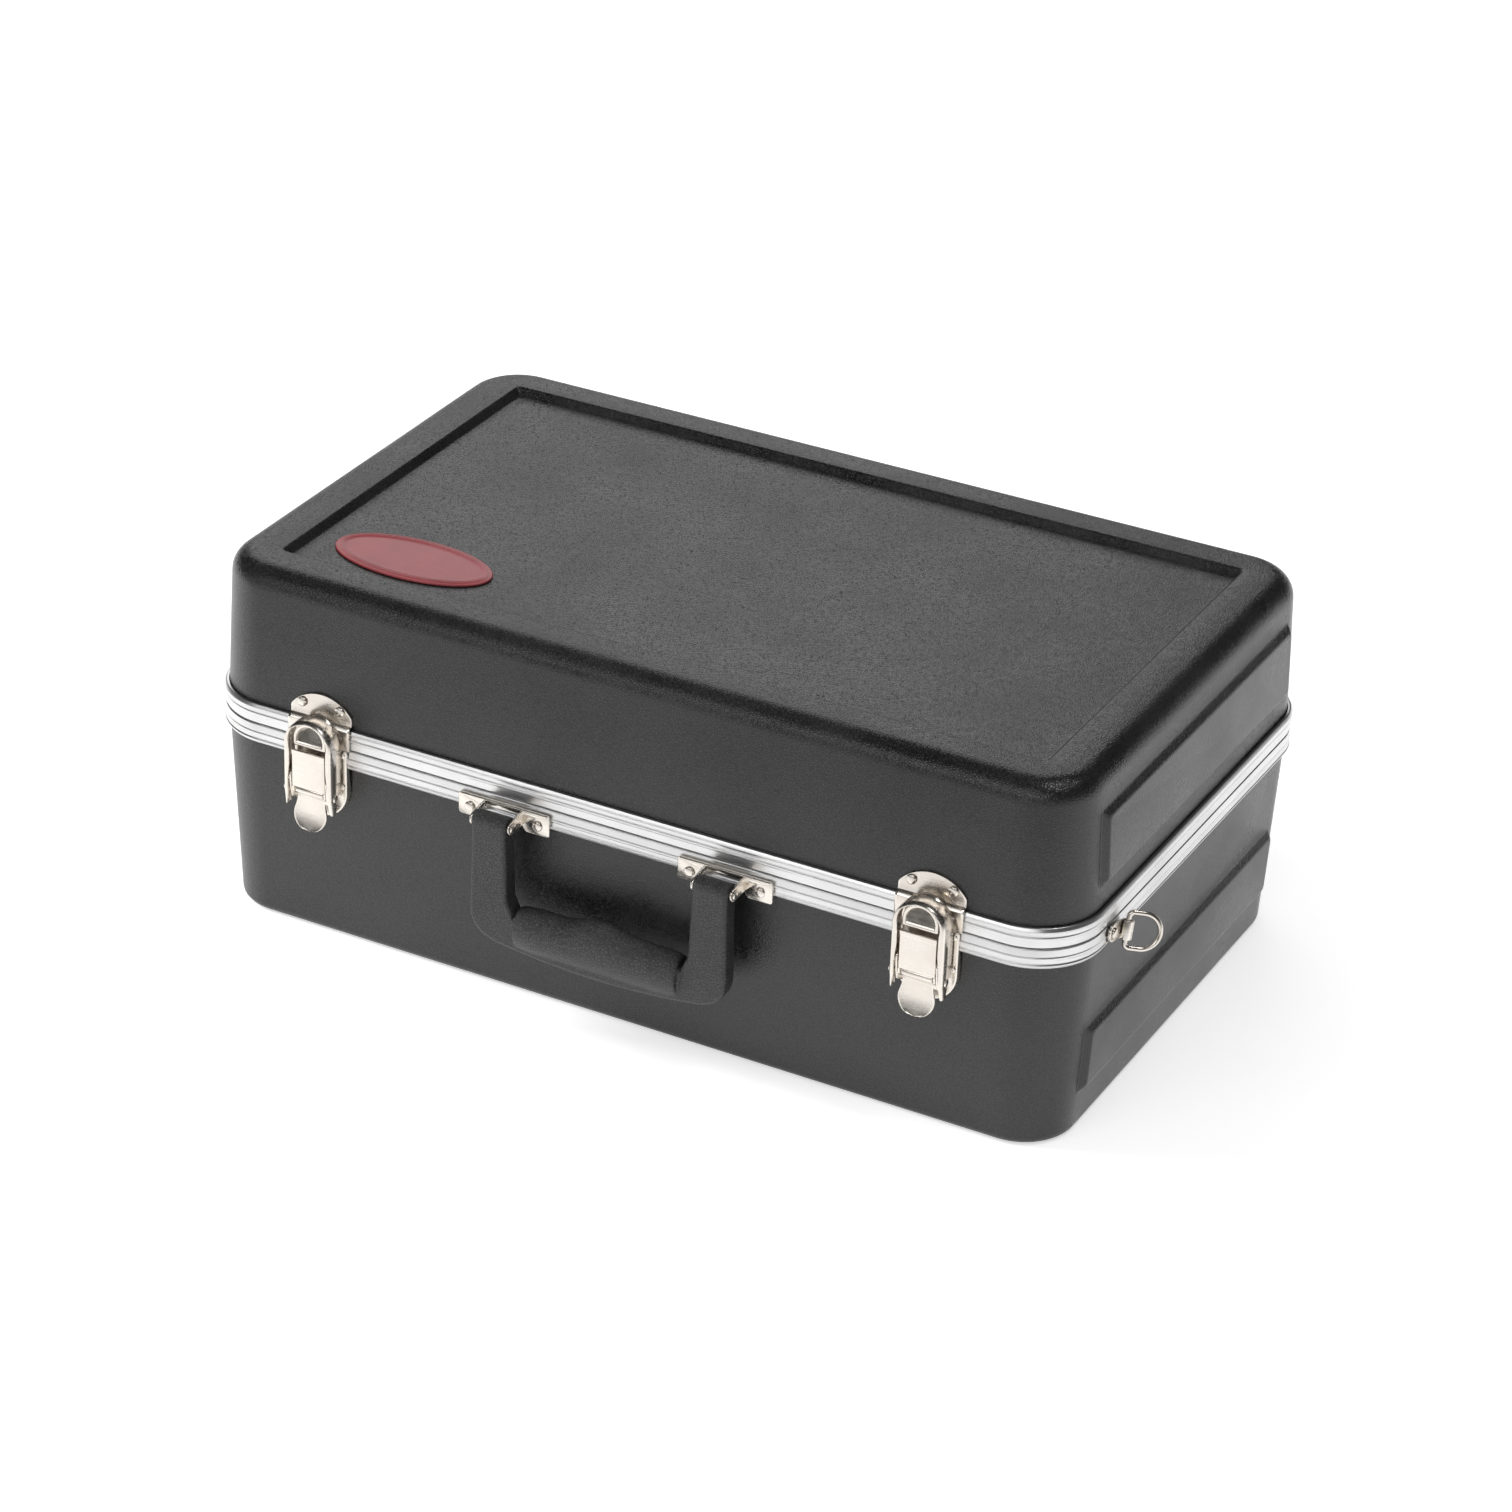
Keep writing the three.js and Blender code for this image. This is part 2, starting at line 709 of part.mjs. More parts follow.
// Base plate under a latch: a flat sheet whose edge folds back to the shell below the band,
// with two dimples and two pivot ears
function latchPlate() {
  const reach = plateCurveStart + plateHalfWidth + overrun;
  const deep = baseFace(reach) - overrun;
  const front = seatGap + latchSheet;
  const middle = seatGap + latchSheet / 2;
  const ledge = bandHeight + seatGap;
  const steps = curveSteps * 2;
  const sheet = toSolid(frontPrism(plateOutline(0), seatGap, front, steps));
  const edge = toSolid(frontPrism(plateOutline(0), deep, middle, steps));
  const hollow = toSolid(frontPrism(plateOutline(latchSheet), deep - overrun, front, steps));
  const behind = polygon([
    [baseFace(ledge) + seatGap, -ledge],
    [baseFace(reach) + seatGap, -reach],
    [front, -reach],
    [front, -ledge],
  ]);
  const wide = plateHalfWidth + overrun;
  const fold = edge.subtract(hollow).intersect(toSolid(sectionPrism(behind, -wide, wide)));
  const dimples = [-1, 1].map((side) => {
    const dimple = domedStem(plateRivet, front, middle);
    dimple.translate(side * plateRivetHalfSpacing, 0, -plateDimpleDrop);
    return toSolid(dimple);
  });
  const body = joined([sheet, fold, ...dimples]);
  const ear = new THREE.Shape();
  ear.moveTo(middle, -pivotDrop - earFootRise);
  ear.absarc(pivotOut, -pivotDrop, earRadius, -Math.PI / 2, Math.PI / 2);
  ear.lineTo(middle, -pivotDrop + earFootRise);
  const ears = [-1, 1].flatMap((side) => {
    const inner = earOuter - earSheet;
    const stub = leverCheekOuter - leverCheekSheet - seatGap / 2;
    const span = [side * inner, side * earOuter].sort((a, b) => a - b);
    const reachIn = [side * stub, side * (inner + earSheet / 2)].sort((a, b) => a - b);
    const pivot = bar('x', pivotRadius, reachIn[0], reachIn[1]);
    pivot.translate(0, -pivotOut, -pivotDrop);
    return [toSolid(sectionPrism(ear, span[0], span[1])), toSolid(pivot)];
  });
  const drills = [-1, 1].map((side) => {
    const hole = bar('y', plateRivetShankRadius + clearance, deep, front + overrun, rivetSides);
    hole.translate(side * plateRivetHalfSpacing, 0, -plateRivetDrop);
    return toSolid(hole);
  });
  return without(joined([body, ...ears]), drills);
}

function jointHole(from, to) {
  const hole = bar('x', jointPinRadius + clearance, from, to);
  hole.translate(0, -jointOut, -jointDrop);
  return toSolid(hole);
}

// Lever: finger tongue rolled round the joint pin, with cheeks up to the pivot
function lever() {
  const cheek = new THREE.Shape();
  cheek.moveTo(jointOut - leverJointBoss, -leverBridgeDrop);
  cheek.lineTo(jointOut - leverJointBoss, -jointDrop);
  cheek.absarc(pivotOut, -pivotDrop, leverPivotBoss, Math.PI, 0, true);
  cheek.lineTo(jointOut + leverJointBoss, -jointDrop);
  cheek.lineTo(jointOut + leverJointBoss - tongueSet, -leverBridgeDrop);
  const inner = leverCheekOuter - leverCheekSheet;
  const cheeks = [[-leverCheekOuter, -inner], [inner, leverCheekOuter]].map(([from, to]) => (
    toSolid(sectionPrism(cheek, from, to, curveSteps * 2))
  ));
  const backAt = (share) => jointOut - tongueSet + tongueCurl * share * share;
  const heightAt = (share) => -jointDrop - share * (tongueTipDrop - jointDrop);
  const back = [];
  const front = [];
  for (let step = 0; step <= curveSteps; step += 1) {
    const share = step / curveSteps;
    back.push([backAt(share), heightAt(share)]);
    front.unshift([backAt(share) + tongueSheet, heightAt(share)]);
  }
  const strip = toSolid(sectionPrism(polygon([...back, ...front]), -leverCheekOuter, leverCheekOuter));
  const outline = new THREE.Shape();
  const tipCentre = tongueTipRadius - tongueTipDrop;
  const bridgeTop = leverBridgeRise - leverBridgeDrop;
  outline.moveTo(tongueHalfWidth, -jointDrop);
  outline.lineTo(-tongueHalfWidth, -jointDrop);
  outline.lineTo(-tongueHalfWidth, bridgeTop);
  outline.lineTo(-leverCheekOuter, bridgeTop);
  outline.lineTo(-leverCheekOuter, -leverBridgeDrop);
  outline.lineTo(-tongueHalfWidth, -leverBridgeDrop);
  outline.quadraticCurveTo(-tongueHalfWidth, tipCentre + leverBridgeRise, -tongueTipRadius, tipCentre);
  outline.absarc(0, tipCentre, tongueTipRadius, Math.PI, Math.PI * 2);
  outline.quadraticCurveTo(tongueHalfWidth, tipCentre + leverBridgeRise, tongueHalfWidth, -leverBridgeDrop);
  outline.lineTo(leverCheekOuter, -leverBridgeDrop);
  outline.lineTo(leverCheekOuter, bridgeTop);
  outline.lineTo(tongueHalfWidth, bridgeTop);
  const tongue = strip.intersect(toSolid(frontPrism(outline, 0, coverFront + tongueCurl, curveSteps * 2)));
  const barrel = bar('x', barrelRadius, -barrelHalfLength, barrelHalfLength);
  barrel.translate(0, -jointOut, -jointDrop);
  const pivot = bar('x', pivotRadius + clearance, -leverCheekOuter - overrun, leverCheekOuter + overrun);
  pivot.translate(0, -pivotOut, -pivotDrop);
  const reach = leverCheekOuter + overrun;
  return without(joined([tongue, toSolid(barrel), ...cheeks]), [toSolid(pivot), jointHole(-reach, reach)]);
}

// Hoop that draws the lid down: a broad strip bent over the boss, with cut-back legs
function hoop() {
  const inner = hoopOuter - hoopSheet;
  const centre = bossCentre + bossLipRadius + clearance - inner;
  const front = new THREE.Shape();
  front.moveTo(hoopOuter, -hoopFootDrop);
  front.absarc(0, centre, hoopOuter, 0, Math.PI);
  front.lineTo(-hoopOuter, -hoopFootDrop);
  front.lineTo(-inner, -hoopFootDrop);
  front.absarc(0, centre, inner, Math.PI, 0, true);
  front.lineTo(inner, -hoopFootDrop);
  const foot = jointOut - hoopFootWidth / 2;
  const leg = polygon([
    [hoopBack, centre + hoopOuter + overrun],
    [hoopBack, -hoopHeelDrop],
    [foot - hoopFootWidth / 2, -hoopToeDrop - hoopFootWidth],
    [foot, -hoopFootDrop],
    [foot + hoopFootWidth, -hoopFootDrop],
    [jointOut + hoopFootWidth, -hoopToeDrop - hoopFootWidth],
    [hoopFront, -hoopToeDrop],
    [hoopFront, centre + hoopOuter + overrun],
  ]);
  const strip = toSolid(frontPrism(front, hoopBack, hoopFront, curveSteps * 3));
  const side = toSolid(sectionPrism(leg, -hoopOuter - overrun, hoopOuter + overrun));
  const reach = hoopOuter + overrun;
  return without(strip.intersect(side), [jointHole(-reach, reach)]);
}

// Cover plate in front of the mechanism, folded back at both sides
function cover() {
  const low = -jointDrop + barrelRadius + seatGap;
  const height = -coverTopDrop - low;
  const outline = roundedBox(coverHalfWidth * 2, height, coverCornerRadius);
  const plate = frontPrism(outline, coverFront - coverSheet, coverFront);
  plate.translate(0, 0, low + height / 2);
  const cheek = new THREE.Shape();
  const deep = coverFront - coverCheekDepth;
  const fold = coverFront - coverSheet / 2;
  cheek.moveTo(fold, low + coverCornerRadius);
  cheek.lineTo(fold, -coverCheekDrop - coverCornerRadius);
  cheek.lineTo(fold - coverCornerRadius, -coverCheekDrop);
  cheek.lineTo(deep + coverCornerRadius, -coverCheekDrop);
  cheek.lineTo(deep, -coverCheekDrop - coverCornerRadius);
  cheek.lineTo(deep, -pivotDrop);
  cheek.lineTo(jointOut - leverJointBoss, -jointDrop);
  cheek.absarc(jointOut, -jointDrop, leverJointBoss, Math.PI, Math.PI * 2);
  const inner = coverHalfWidth - coverSheet;
  const cheeks = [[-coverHalfWidth, -inner], [inner, coverHalfWidth]].map(([from, to]) => (
    toSolid(sectionPrism(cheek, from, to))
  ));
  const wide = coverHalfWidth + overrun;
  return without(joined([toSolid(plate), ...cheeks]), [jointHole(-wide, wide)]);
}

// A pin along the case with a head at each end
function headedPin(radius, headRadius, half, head) {
  const end = half + head;
  const geometry = new THREE.LatheGeometry([
    new THREE.Vector2(0, -end),
    new THREE.Vector2(headRadius, -end),
    new THREE.Vector2(headRadius, -half),
    new THREE.Vector2(radius, -half),
    new THREE.Vector2(radius, half),
    new THREE.Vector2(headRadius, half),
    new THREE.Vector2(headRadius, end),
    new THREE.Vector2(0, end),
  ], pinSides);
  geometry.rotateZ(-Math.PI / 2);
  return toSolid(geometry);
}

function addLatch(side, x) {
  const frame = wallFrame(x, false);
  const tail = lidFace(keeperRivetHeight) - shellWall;
  addPiece(frame, `latch_keeper_${side}`, keeper(), nickel);
  addPiece(frame, `latch_plate_${side}`, latchPlate(), nickel);
  addPiece(frame, `latch_lever_${side}`, lever(), nickel);
  addPiece(frame, `latch_hoop_${side}`, hoop(), nickel);
  addPiece(frame, `latch_cover_${side}`, cover(), nickel);
  const pin = headedPin(jointPinRadius, jointPinHeadRadius, hoopOuter + seatGap, jointPinHeadThickness);
  addPiece(frame, `latch_joint_pin_${side}`, pin, nickel).position.set(0, -jointOut, -jointDrop);
  [-1, 1].forEach((way, i) => {
    const offset = way * keeperRivetSpacing / 2;
    const seat = lidFace(keeperRivetHeight - rivetHeadRadius) + seatGap + latchSheet + seatGap;
    addRivet(frame, `keeper_rivet_${side}_${i + 1}`, offset, keeperRivetHeight, seat, tail);
    drill(['lidShell'], frame, offset, keeperRivetHeight, -tail + overrun);
  });
  [-1, 1].forEach((way, i) => {
    const offset = way * plateRivetHalfSpacing;
    const seat = seatGap + latchSheet + seatGap;
    const end = baseFace(plateRivetDrop) - shellWall;
    const name = `plate_rivet_${side}_${i + 1}`;
    addRivet(frame, name, offset, -plateRivetDrop, seat, end, plateRivet);
    drill(['baseShell'], frame, offset, -plateRivetDrop, -end + overrun, plateRivet);
  });
}

// Handle bracket: a strip with a bead along its top, a tab at each end and two ears,
// folded out of the open window between the tabs
function handleBracket() {
  const front = seatGap + bracketSheet;
  const bottom = bracketTopDrop + bracketHeight;
  const outline = roundedBox(bracketLength, bracketHeight, bracketCornerRadius);
  const plate = frontPrism(outline, seatGap, front);
  plate.translate(0, 0, -bracketTopDrop - bracketHeight / 2);
  const beadEnd = bracketLength / 2 - bracketCornerRadius;
  const bead = bar('x', bracketBead, -beadEnd, beadEnd);
  bead.translate(0, -front, -bracketTopDrop - bracketBead);
  const ear = new THREE.Shape();
  ear.moveTo(seatGap, -bracketTopDrop - bracketBead);
  ear.lineTo(seatGap, -bracketTabDrop);
  ear.absarc(handlePinOut, -handlePinDrop, bracketEarRadius, -Math.PI / 2, Math.PI / 2);
  const inner = bracketEarInner;
  const outer = bracketEarInner + bracketSheet;
  const ears = [[-outer, -inner], [inner, outer]].map(([from, to]) => (
    toSolid(sectionPrism(ear, from, to))
  ));
  const window = frontPrism(polygon([
    [-inner, -bracketTopDrop - bracketStrip],
    [inner, -bracketTopDrop - bracketStrip],
    [inner, -bracketTabDrop],
    [inner + bracketTabLean, -bottom - overrun],
    [-inner - bracketTabLean, -bottom - overrun],
    [-inner, -bracketTabDrop],
  ]), 0, front + overrun);
  const pin = bar('x', handlePinRadius + seatGap, -outer - overrun, outer + overrun);
  pin.translate(0, -handlePinOut, -handlePinDrop);
  const drills = [-1, 1].map((way) => {
    const hole = bar('y', rivetShankRadius + clearance, 0, front + overrun, rivetSides);
    hole.translate(way * bracketRivetHalfSpacing, 0, -bracketRivetDrop);
    return toSolid(hole);
  });
  const body = joined([toSolid(plate), toSolid(bead)]).subtract(toSolid(window));
  return without(joined([body, ...ears]), [toSolid(pin), ...drills]);
}

function handleOutline() {
  const shape = new THREE.Shape();
  const postMiddle = bracketSpacing / 2;
  const top = -handlePinDrop + handleThickness / 2;
  const outer = postMiddle + handlePostTop / 2;
  const wide = outer + handlePostSpread;
  const straight = handlePinDrop + handlePinOut + overrun;
  const cornerX = wide - handleCornerReach;
  const cornerDrop = handleDrop - handleArch;
  const cornerPull = cornerDrop - 2 * handleArch * handleCornerReach / cornerX;
  const b = handleBevel;
  shape.moveTo(outer - b, top);
  shape.lineTo(postMiddle - handlePostTop / 2 + b, top);
  shape.lineTo(handleWindowHalf + b, -handleWindowDrop);
  shape.lineTo(handleNotchHalf, -handleNotchDrop - b);
  shape.lineTo(-handleNotchHalf, -handleNotchDrop - b);
  shape.lineTo(-handleWindowHalf - b, -handleWindowDrop);
  shape.lineTo(-postMiddle + handlePostTop / 2 - b, top);
  shape.lineTo(-outer + b, top);
  shape.lineTo(-outer + b, -straight);
  shape.lineTo(-wide + b, -handleShoulderDrop);
  shape.quadraticCurveTo(-wide + b, -cornerPull + b, -cornerX, -cornerDrop + b);
  shape.quadraticCurveTo(0, -handleDrop - handleArch + b, cornerX, -cornerDrop + b);
  shape.quadraticCurveTo(wide - b, -cornerPull + b, wide - b, -handleShoulderDrop);
  shape.lineTo(outer - b, -straight);
  return shape;
}

// The padded grip: round sections along the case, humped on the side of the fingers
function grip() {
  const rings = [];
  const stations = gripStations;
  for (let station = 0; station <= stations; station += 1) {
    const share = station / stations * 2 - 1;
    const x = share * gripHalfLength;
    const endScale = Math.sqrt(1 - gripEndShare * share ** gripEndPower);
    const away = Math.min(1, Math.abs(x) / gripHumpHalfLength);
    const hump = gripHump * Math.cos(away * Math.PI / 2) ** 2;
    const topHeight = (gripBottomDrop - gripTopDrop) / 2;
    const ring = [];
    for (let side = 0; side < gripSides; side += 1) {
      const angle = side / gripSides * Math.PI * 2;
      const rise = Math.sin(angle);
      const up = rise > 0 ? rise * (topHeight * endScale + hump) : rise * topHeight * endScale;
      ring.push(new THREE.Vector3(
        x,
        -handlePinOut - Math.cos(angle) * gripHalfDepth * endScale,
        up - (gripTopDrop + gripBottomDrop) / 2,
      ));
    }
    rings.push(ring);
  }
  return toSolid(loft(rings));
}

function handle() {
  const bow = new THREE.ExtrudeGeometry(handleOutline(), {
    depth: handleThickness - handleBevel * 2,
    bevelThickness: handleBevel,
    bevelSize: handleBevel,
    bevelSegments: 2,
    curveSegments: curveSteps + 1,
  });
  bow.rotateX(Math.PI / 2);
  bow.translate(0, -handlePinOut + handleThickness / 2 - handleBevel, 0);
  const rounded = new THREE.Shape();
  const back = handlePinOut - handleThickness / 2;
  const front = handlePinOut + handleThickness / 2;
  rounded.moveTo(back, -handleDrop - overrun);
  rounded.lineTo(front, -handleDrop - overrun);
  rounded.absarc(handlePinOut, -handlePinDrop, handleThickness / 2, 0, Math.PI);
  const wide = bracketSpacing / 2 + handlePostTop;
  const posts = toSolid(bow).intersect(toSolid(sectionPrism(rounded, -wide, wide)));
  const bores = [-1, 1].map((way) => {
    const middle = way * bracketSpacing / 2;
    const bore = bar('x', handlePinRadius + clearance, middle - handlePostTop, middle + handlePostTop);
    bore.translate(0, -handlePinOut, -handlePinDrop);
    return toSolid(bore);
  });
  return without(joined([posts, grip()]), bores);
}

function addHandle() {
  const middle = wallFrame(0, false);
  addPiece(middle, 'handle', handle(), handleSkin);
  for (const [side, way] of [['left', -1], ['right', 1]]) {
    const frame = wallFrame(way * bracketSpacing / 2, false);
    addPiece(frame, `handle_bracket_${side}`, handleBracket(), nickel);
    const half = bracketEarInner + bracketSheet + seatGap;
    const pin = headedPin(handlePinRadius, handlePinHeadRadius, half, handlePinHeadThickness);
    addPiece(frame, `handle_pin_${side}`, pin, nickel).position.set(0, -handlePinOut, -handlePinDrop);
    [-1, 1].forEach((offsetWay, i) => {
      const offset = offsetWay * bracketRivetHalfSpacing;
      const tail = baseFace(bracketRivetDrop) - shellWall;
      const seat = seatGap + bracketSheet + seatGap;
      addRivet(frame, `bracket_rivet_${side}_${i + 1}`, offset, -bracketRivetDrop, seat, tail);
      drill(['baseBand', 'baseShell'], frame, offset, -bracketRivetDrop, -tail + overrun);
    });
  }
}

// Strap ring: a D of wire, bent in its own plane, its straight side on the axis
function strapRing() {
  const half = ringHeight / 2 - ringWireRadius;
  const depth = ringDepth - ringWireRadius;
  const path = [];
  const addArc = (x, z, radius, from, to, steps) => {
    for (let step = 0; step <= steps; step += 1) {
      const angle = from + (to - from) * step / steps;
      path.push([x + radius * Math.cos(angle), z + radius * Math.sin(angle)]);
    }
  };
  addArc(ringCorner, half - ringCorner, ringCorner, Math.PI, Math.PI / 2, edgeSteps);
  addArc(depth - half, 0, half, Math.PI / 2, -Math.PI / 2, curveSteps * 2);
  addArc(ringCorner, ringCorner - half, ringCorner, -Math.PI / 2, -Math.PI, edgeSteps);
  const rings = path.map(([x, z], i) => {
    const before = path[(i + path.length - 1) % path.length];
    const after = path[(i + 1) % path.length];
    const along = new THREE.Vector2(after[0] - before[0], after[1] - before[1]).normalize();
    const ring = [];
    for (let side = 0; side < wireSides; side += 1) {
      const angle = side / wireSides * Math.PI * 2;
      const out = ringWireRadius * Math.cos(angle);
      ring.push(new THREE.Vector3(
        ringWireRadius * Math.sin(angle),
        -(x + along.y * out),
        z - along.x * out,
      ));
    }
    return ring;
  });
  return toSolid(loop(rings));
}

// Clip that holds the strap ring: a riveted plate rolled round the ring's straight side
function ringClip() {
  const front = seatGap + clipSheet;
  const outline = new THREE.Shape();
  outline.moveTo(0, clipHeight / 2);
  outline.absarc(-clipRivetFromRing, 0, clipHeight / 2, Math.PI / 2, Math.PI * 1.5);
  outline.lineTo(0, -clipHeight / 2);
  const plate = frontPrism(outline, seatGap, front);
  const bore = ringWireRadius + clearance;
  const knuckle = bar('z', bore + knuckleWall, -clipHeight / 2, clipHeight / 2);
  knuckle.translate(0, -ringAxisOut, 0);
  const hollow = bar('z', bore, -clipHeight, clipHeight);
  hollow.translate(0, -ringAxisOut, 0);
  const hole = rivetShankRadius + clearance;
  const drillHole = bar('y', hole, -overrun, front + overrun, rivetSides);
  drillHole.translate(-clipRivetFromRing, 0, 0);
  return without(joined([toSolid(plate), toSolid(knuckle)]), [toSolid(hollow), toSolid(drillHole)]);
}

function addStrapRing(side, way) {
  const frame = new THREE.Group();
  frame.position.set(way * halfLength, -ringFromCentre, -ringDrop);
  frame.rotation.z = way * Math.PI / 2;
  split.add(frame);
  const turned = new THREE.Group();
  const lean = THREE.MathUtils.degToRad(clipLeanDegrees);
  turned.rotation.y = way > 0 ? lean : Math.PI - lean;
  frame.add(turned);
  addPiece(turned, `ring_clip_${side}`, ringClip(), nickel);
  const swung = new THREE.Group();
  swung.position.set(0, -ringAxisOut, 0);
  swung.rotation.z = THREE.MathUtils.degToRad(ringSwungDegrees);
  turned.add(swung);
  addPiece(swung, `strap_ring_${side}`, strapRing(), nickel);
  const tail = -bandProud - shellWall;
  addRivet(turned, `ring_rivet_${side}`, -clipRivetFromRing, 0, seatGap + clipSheet + seatGap, tail);
  drill(['baseBand', 'baseShell'], turned, -clipRivetFromRing, 0, -tail + overrun);
}

// One hinge leaf: a riveted plate with its share of the barrel
function hingeLeaf(up, knuckles) {
  const front = seatGap + hingeSheet;
  const tall = hingeLeafOuter - hingeLeafInner;
  const plate = frontPrism(roundedBox(hingeLength, tall, overrun), seatGap, front);
  plate.translate(0, 0, up * (hingeLeafInner + tall / 2));
  const solids = [toSolid(plate)];
  for (const [from, to] of knuckles) {
    const web = new THREE.BoxGeometry(to - from, hingeSheet, hingeLeafInner + overrun);
    web.translate((from + to) / 2, -(seatGap + front) / 2, up * (hingeLeafInner + overrun) / 2);
    const barrel = bar('x', hingeBarrelRadius, from, to);
    barrel.translate(0, -hingeAxisOut, 0);
    solids.push(toSolid(web), toSolid(barrel));
  }
  const bore = bar('x', hingePinRadius + clearance, -hingeLength, hingeLength);
  bore.translate(0, -hingeAxisOut, 0);
  const drills = [-1, 1].map((way) => {
    const hole = bar('y', rivetShankRadius + clearance, -overrun, front + overrun, rivetSides);
    hole.translate(way * hingeRivetHalfSpacing, 0, up * hingeRivetDrop);
    return toSolid(hole);
  });
  return without(joined(solids), [toSolid(bore), ...drills]);
}

function addHinge(side, x) {
  const frame = wallFrame(x, true);
  const knuckleHalf = hingeLength / 6;
  const gap = clearance / 2;
  const end = hingeLength / 2;
  const middleKnuckle = [[-knuckleHalf + gap, knuckleHalf - gap]];
  const outerKnuckles = [[-end, -knuckleHalf - gap], [knuckleHalf + gap, end]];
  addPiece(frame, `hinge_leaf_lid_${side}`, hingeLeaf(1, middleKnuckle), nickel);
  addPiece(frame, `hinge_leaf_base_${side}`, hingeLeaf(-1, outerKnuckles), nickel);
  const pin = headedPin(hingePinRadius, hingePinHeadRadius, end + seatGap, hingePinHeadThickness);
  addPiece(frame, `hinge_pin_${side}`, pin, nickel).position.set(0, -hingeAxisOut, 0);
  const seat = seatGap + hingeSheet + seatGap;
  const tail = -bandProud - shellWall;
  const halves = [['lid', 1, ['lidBand', 'lidShell']], ['base', -1, ['baseBand', 'baseShell']]];
  for (const [half, up, targets] of halves) {
    [-1, 1].forEach((way, i) => {
      const offset = way * hingeRivetHalfSpacing;
      const name = `hinge_rivet_${half}_${side}_${i + 1}`;
      addRivet(frame, name, offset, up * hingeRivetDrop, seat, tail, hingeRivet);
      drill(targets, frame, offset, up * hingeRivetDrop, -tail + overrun);
    });
  }
}

// A pocket sunk into the insert from its top
function pocket(shape, depth) {
  const geometry = new THREE.ExtrudeGeometry(shape, {
    depth: depth + overrun,
    bevelEnabled: false,
    curveSegments: curveSteps,
  });
  geometry.translate(0, 0, -insertTopDrop - depth);
  return toSolid(geometry);
}

function boxPocket(x, endX, y, endY, depth, radius = pocketCorner) {
  const width = endX - x;
  const height = endY - y;
  const sunk = pocket(roundedBox(width, height, radius), depth);
  return sunk.translate([x + width / 2, y + height / 2, 0]);
}

function bellPocket() {
  const shape = new THREE.Shape();
  const bend = (bellX + bellThroatX) / 2;
  const axis = halfWidth - bellAxisFromBack;
  shape.moveTo(bellX, axis - bellRimHalf);
  shape.quadraticCurveTo(bend, axis - bellThroatHalf, bellThroatX, axis - bellThroatHalf);
  shape.lineTo(bellThroatX, axis + bellThroatHalf);
  shape.quadraticCurveTo(bend, axis + bellThroatHalf, bellX, axis + bellRimHalf);
  return pocket(shape, bellDepth);
}

function mouthpiecePocket(middle) {
  const half = mouthpieceLength / 2;
  return boxPocket(middle - half, middle + half, boxY, boxEndY, rowDepth, pocketCorner / 2);
}

// The part of the insert's block that lies between two places across the case and, for a
// shorter part, between two places along it
function insertBlock(fromY, toY, fromX = -halfLength, toX = halfLength) {
  const extra = shellWall + fitGap;
  const floor = baseHeight - shellWall - fitGap;
  const section = wallSection(insertTopDrop, floor, baseFace, baseEdgeRadius, extra);
  const slice = new THREE.BoxGeometry(toX - fromX, toY - fromY, baseHeight * 2);
  slice.translate((fromX + toX) / 2, (fromY + toY) / 2, 0);
  return shellSolid(section, -1).intersect(toSolid(slice));
}

// Padded insert of the base, its back part: the bed of the instrument
function baseInsert() {
  const bodyAxis = halfWidth - bodyAxisFromBack;
  const pipeAxis = halfWidth - pipeAxisFromBack;
  const pipeX = bodyEndX - pocketCorner * 2;
  const pipeEndX = halfLength - pipeFromEnd;
  const valveY = valveFromFront - halfWidth;
  const valveEndY = halfWidth - valveFromBack;
  return without(insertBlock(insertJoinY + fitGap, halfWidth), [
    bellPocket(),
    boxPocket(bodyX, bodyEndX, bodyAxis - bodyHalf, bodyAxis + bodyHalf, bodyDepth),
    boxPocket(valveX, valveEndX, valveY, valveEndY, valveDepth),
    boxPocket(pipeX, pipeEndX, pipeAxis - pipeHalf, pipeAxis + pipeHalf, pipeDepth),
  ]);
}

// In front of it, from the left end: a block with the tray and the mouthpiece pockets
function pocketBlock() {
  return without(insertBlock(-halfWidth, insertJoinY, -halfLength, blockJoinX), [
    boxPocket(trayX, trayEndX, boxY, boxEndY, rowDepth, pocketCorner / 2),
    mouthpiecePocket(mouthpieceX),
    mouthpiecePocket(mouthpieceX + mouthpieceStep),
  ]);
}

// And from there to the right end: a block with the accessory box
function accessoryBlock() {
  const rebate = boxPocket(
    boxX - boxRebate - boxLidGap,
    boxEndX + boxRebate + boxLidGap,
    boxY - boxRebate - boxLidGap,
    boxEndY + boxRebate + boxLidGap,
    boxLidThickness + clearance,
    boxLidGap,
  );
  return without(insertBlock(-halfWidth, insertJoinY, blockJoinX + fitGap, halfLength), [
    rebate,
    boxPocket(boxX, boxEndX, boxY, boxEndY, boxDepth, pocketCorner / 2),
  ]);
}

function accessoryLid() {
  const width = boxEndX - boxX + boxRebate * 2;
  const height = boxEndY - boxY + boxRebate * 2;
  const board = new THREE.BoxGeometry(width, height, boxLidThickness);
  board.translate((boxX + boxEndX) / 2, (boxY + boxEndY) / 2, -insertTopDrop - boxLidThickness / 2);
  return toSolid(board);
}

function pullTab() {
  const shape = roundedBox(tabWidth, tabLength, tabWidth / 3);
  const geometry = new THREE.ExtrudeGeometry(shape, {
    depth: tabThickness,
    bevelEnabled: false,
    curveSegments: curveSteps,
  });
  geometry.translate((boxX + boxEndX) / 2, boxEndY, -insertTopDrop + seatGap);
  return toSolid(geometry);
}

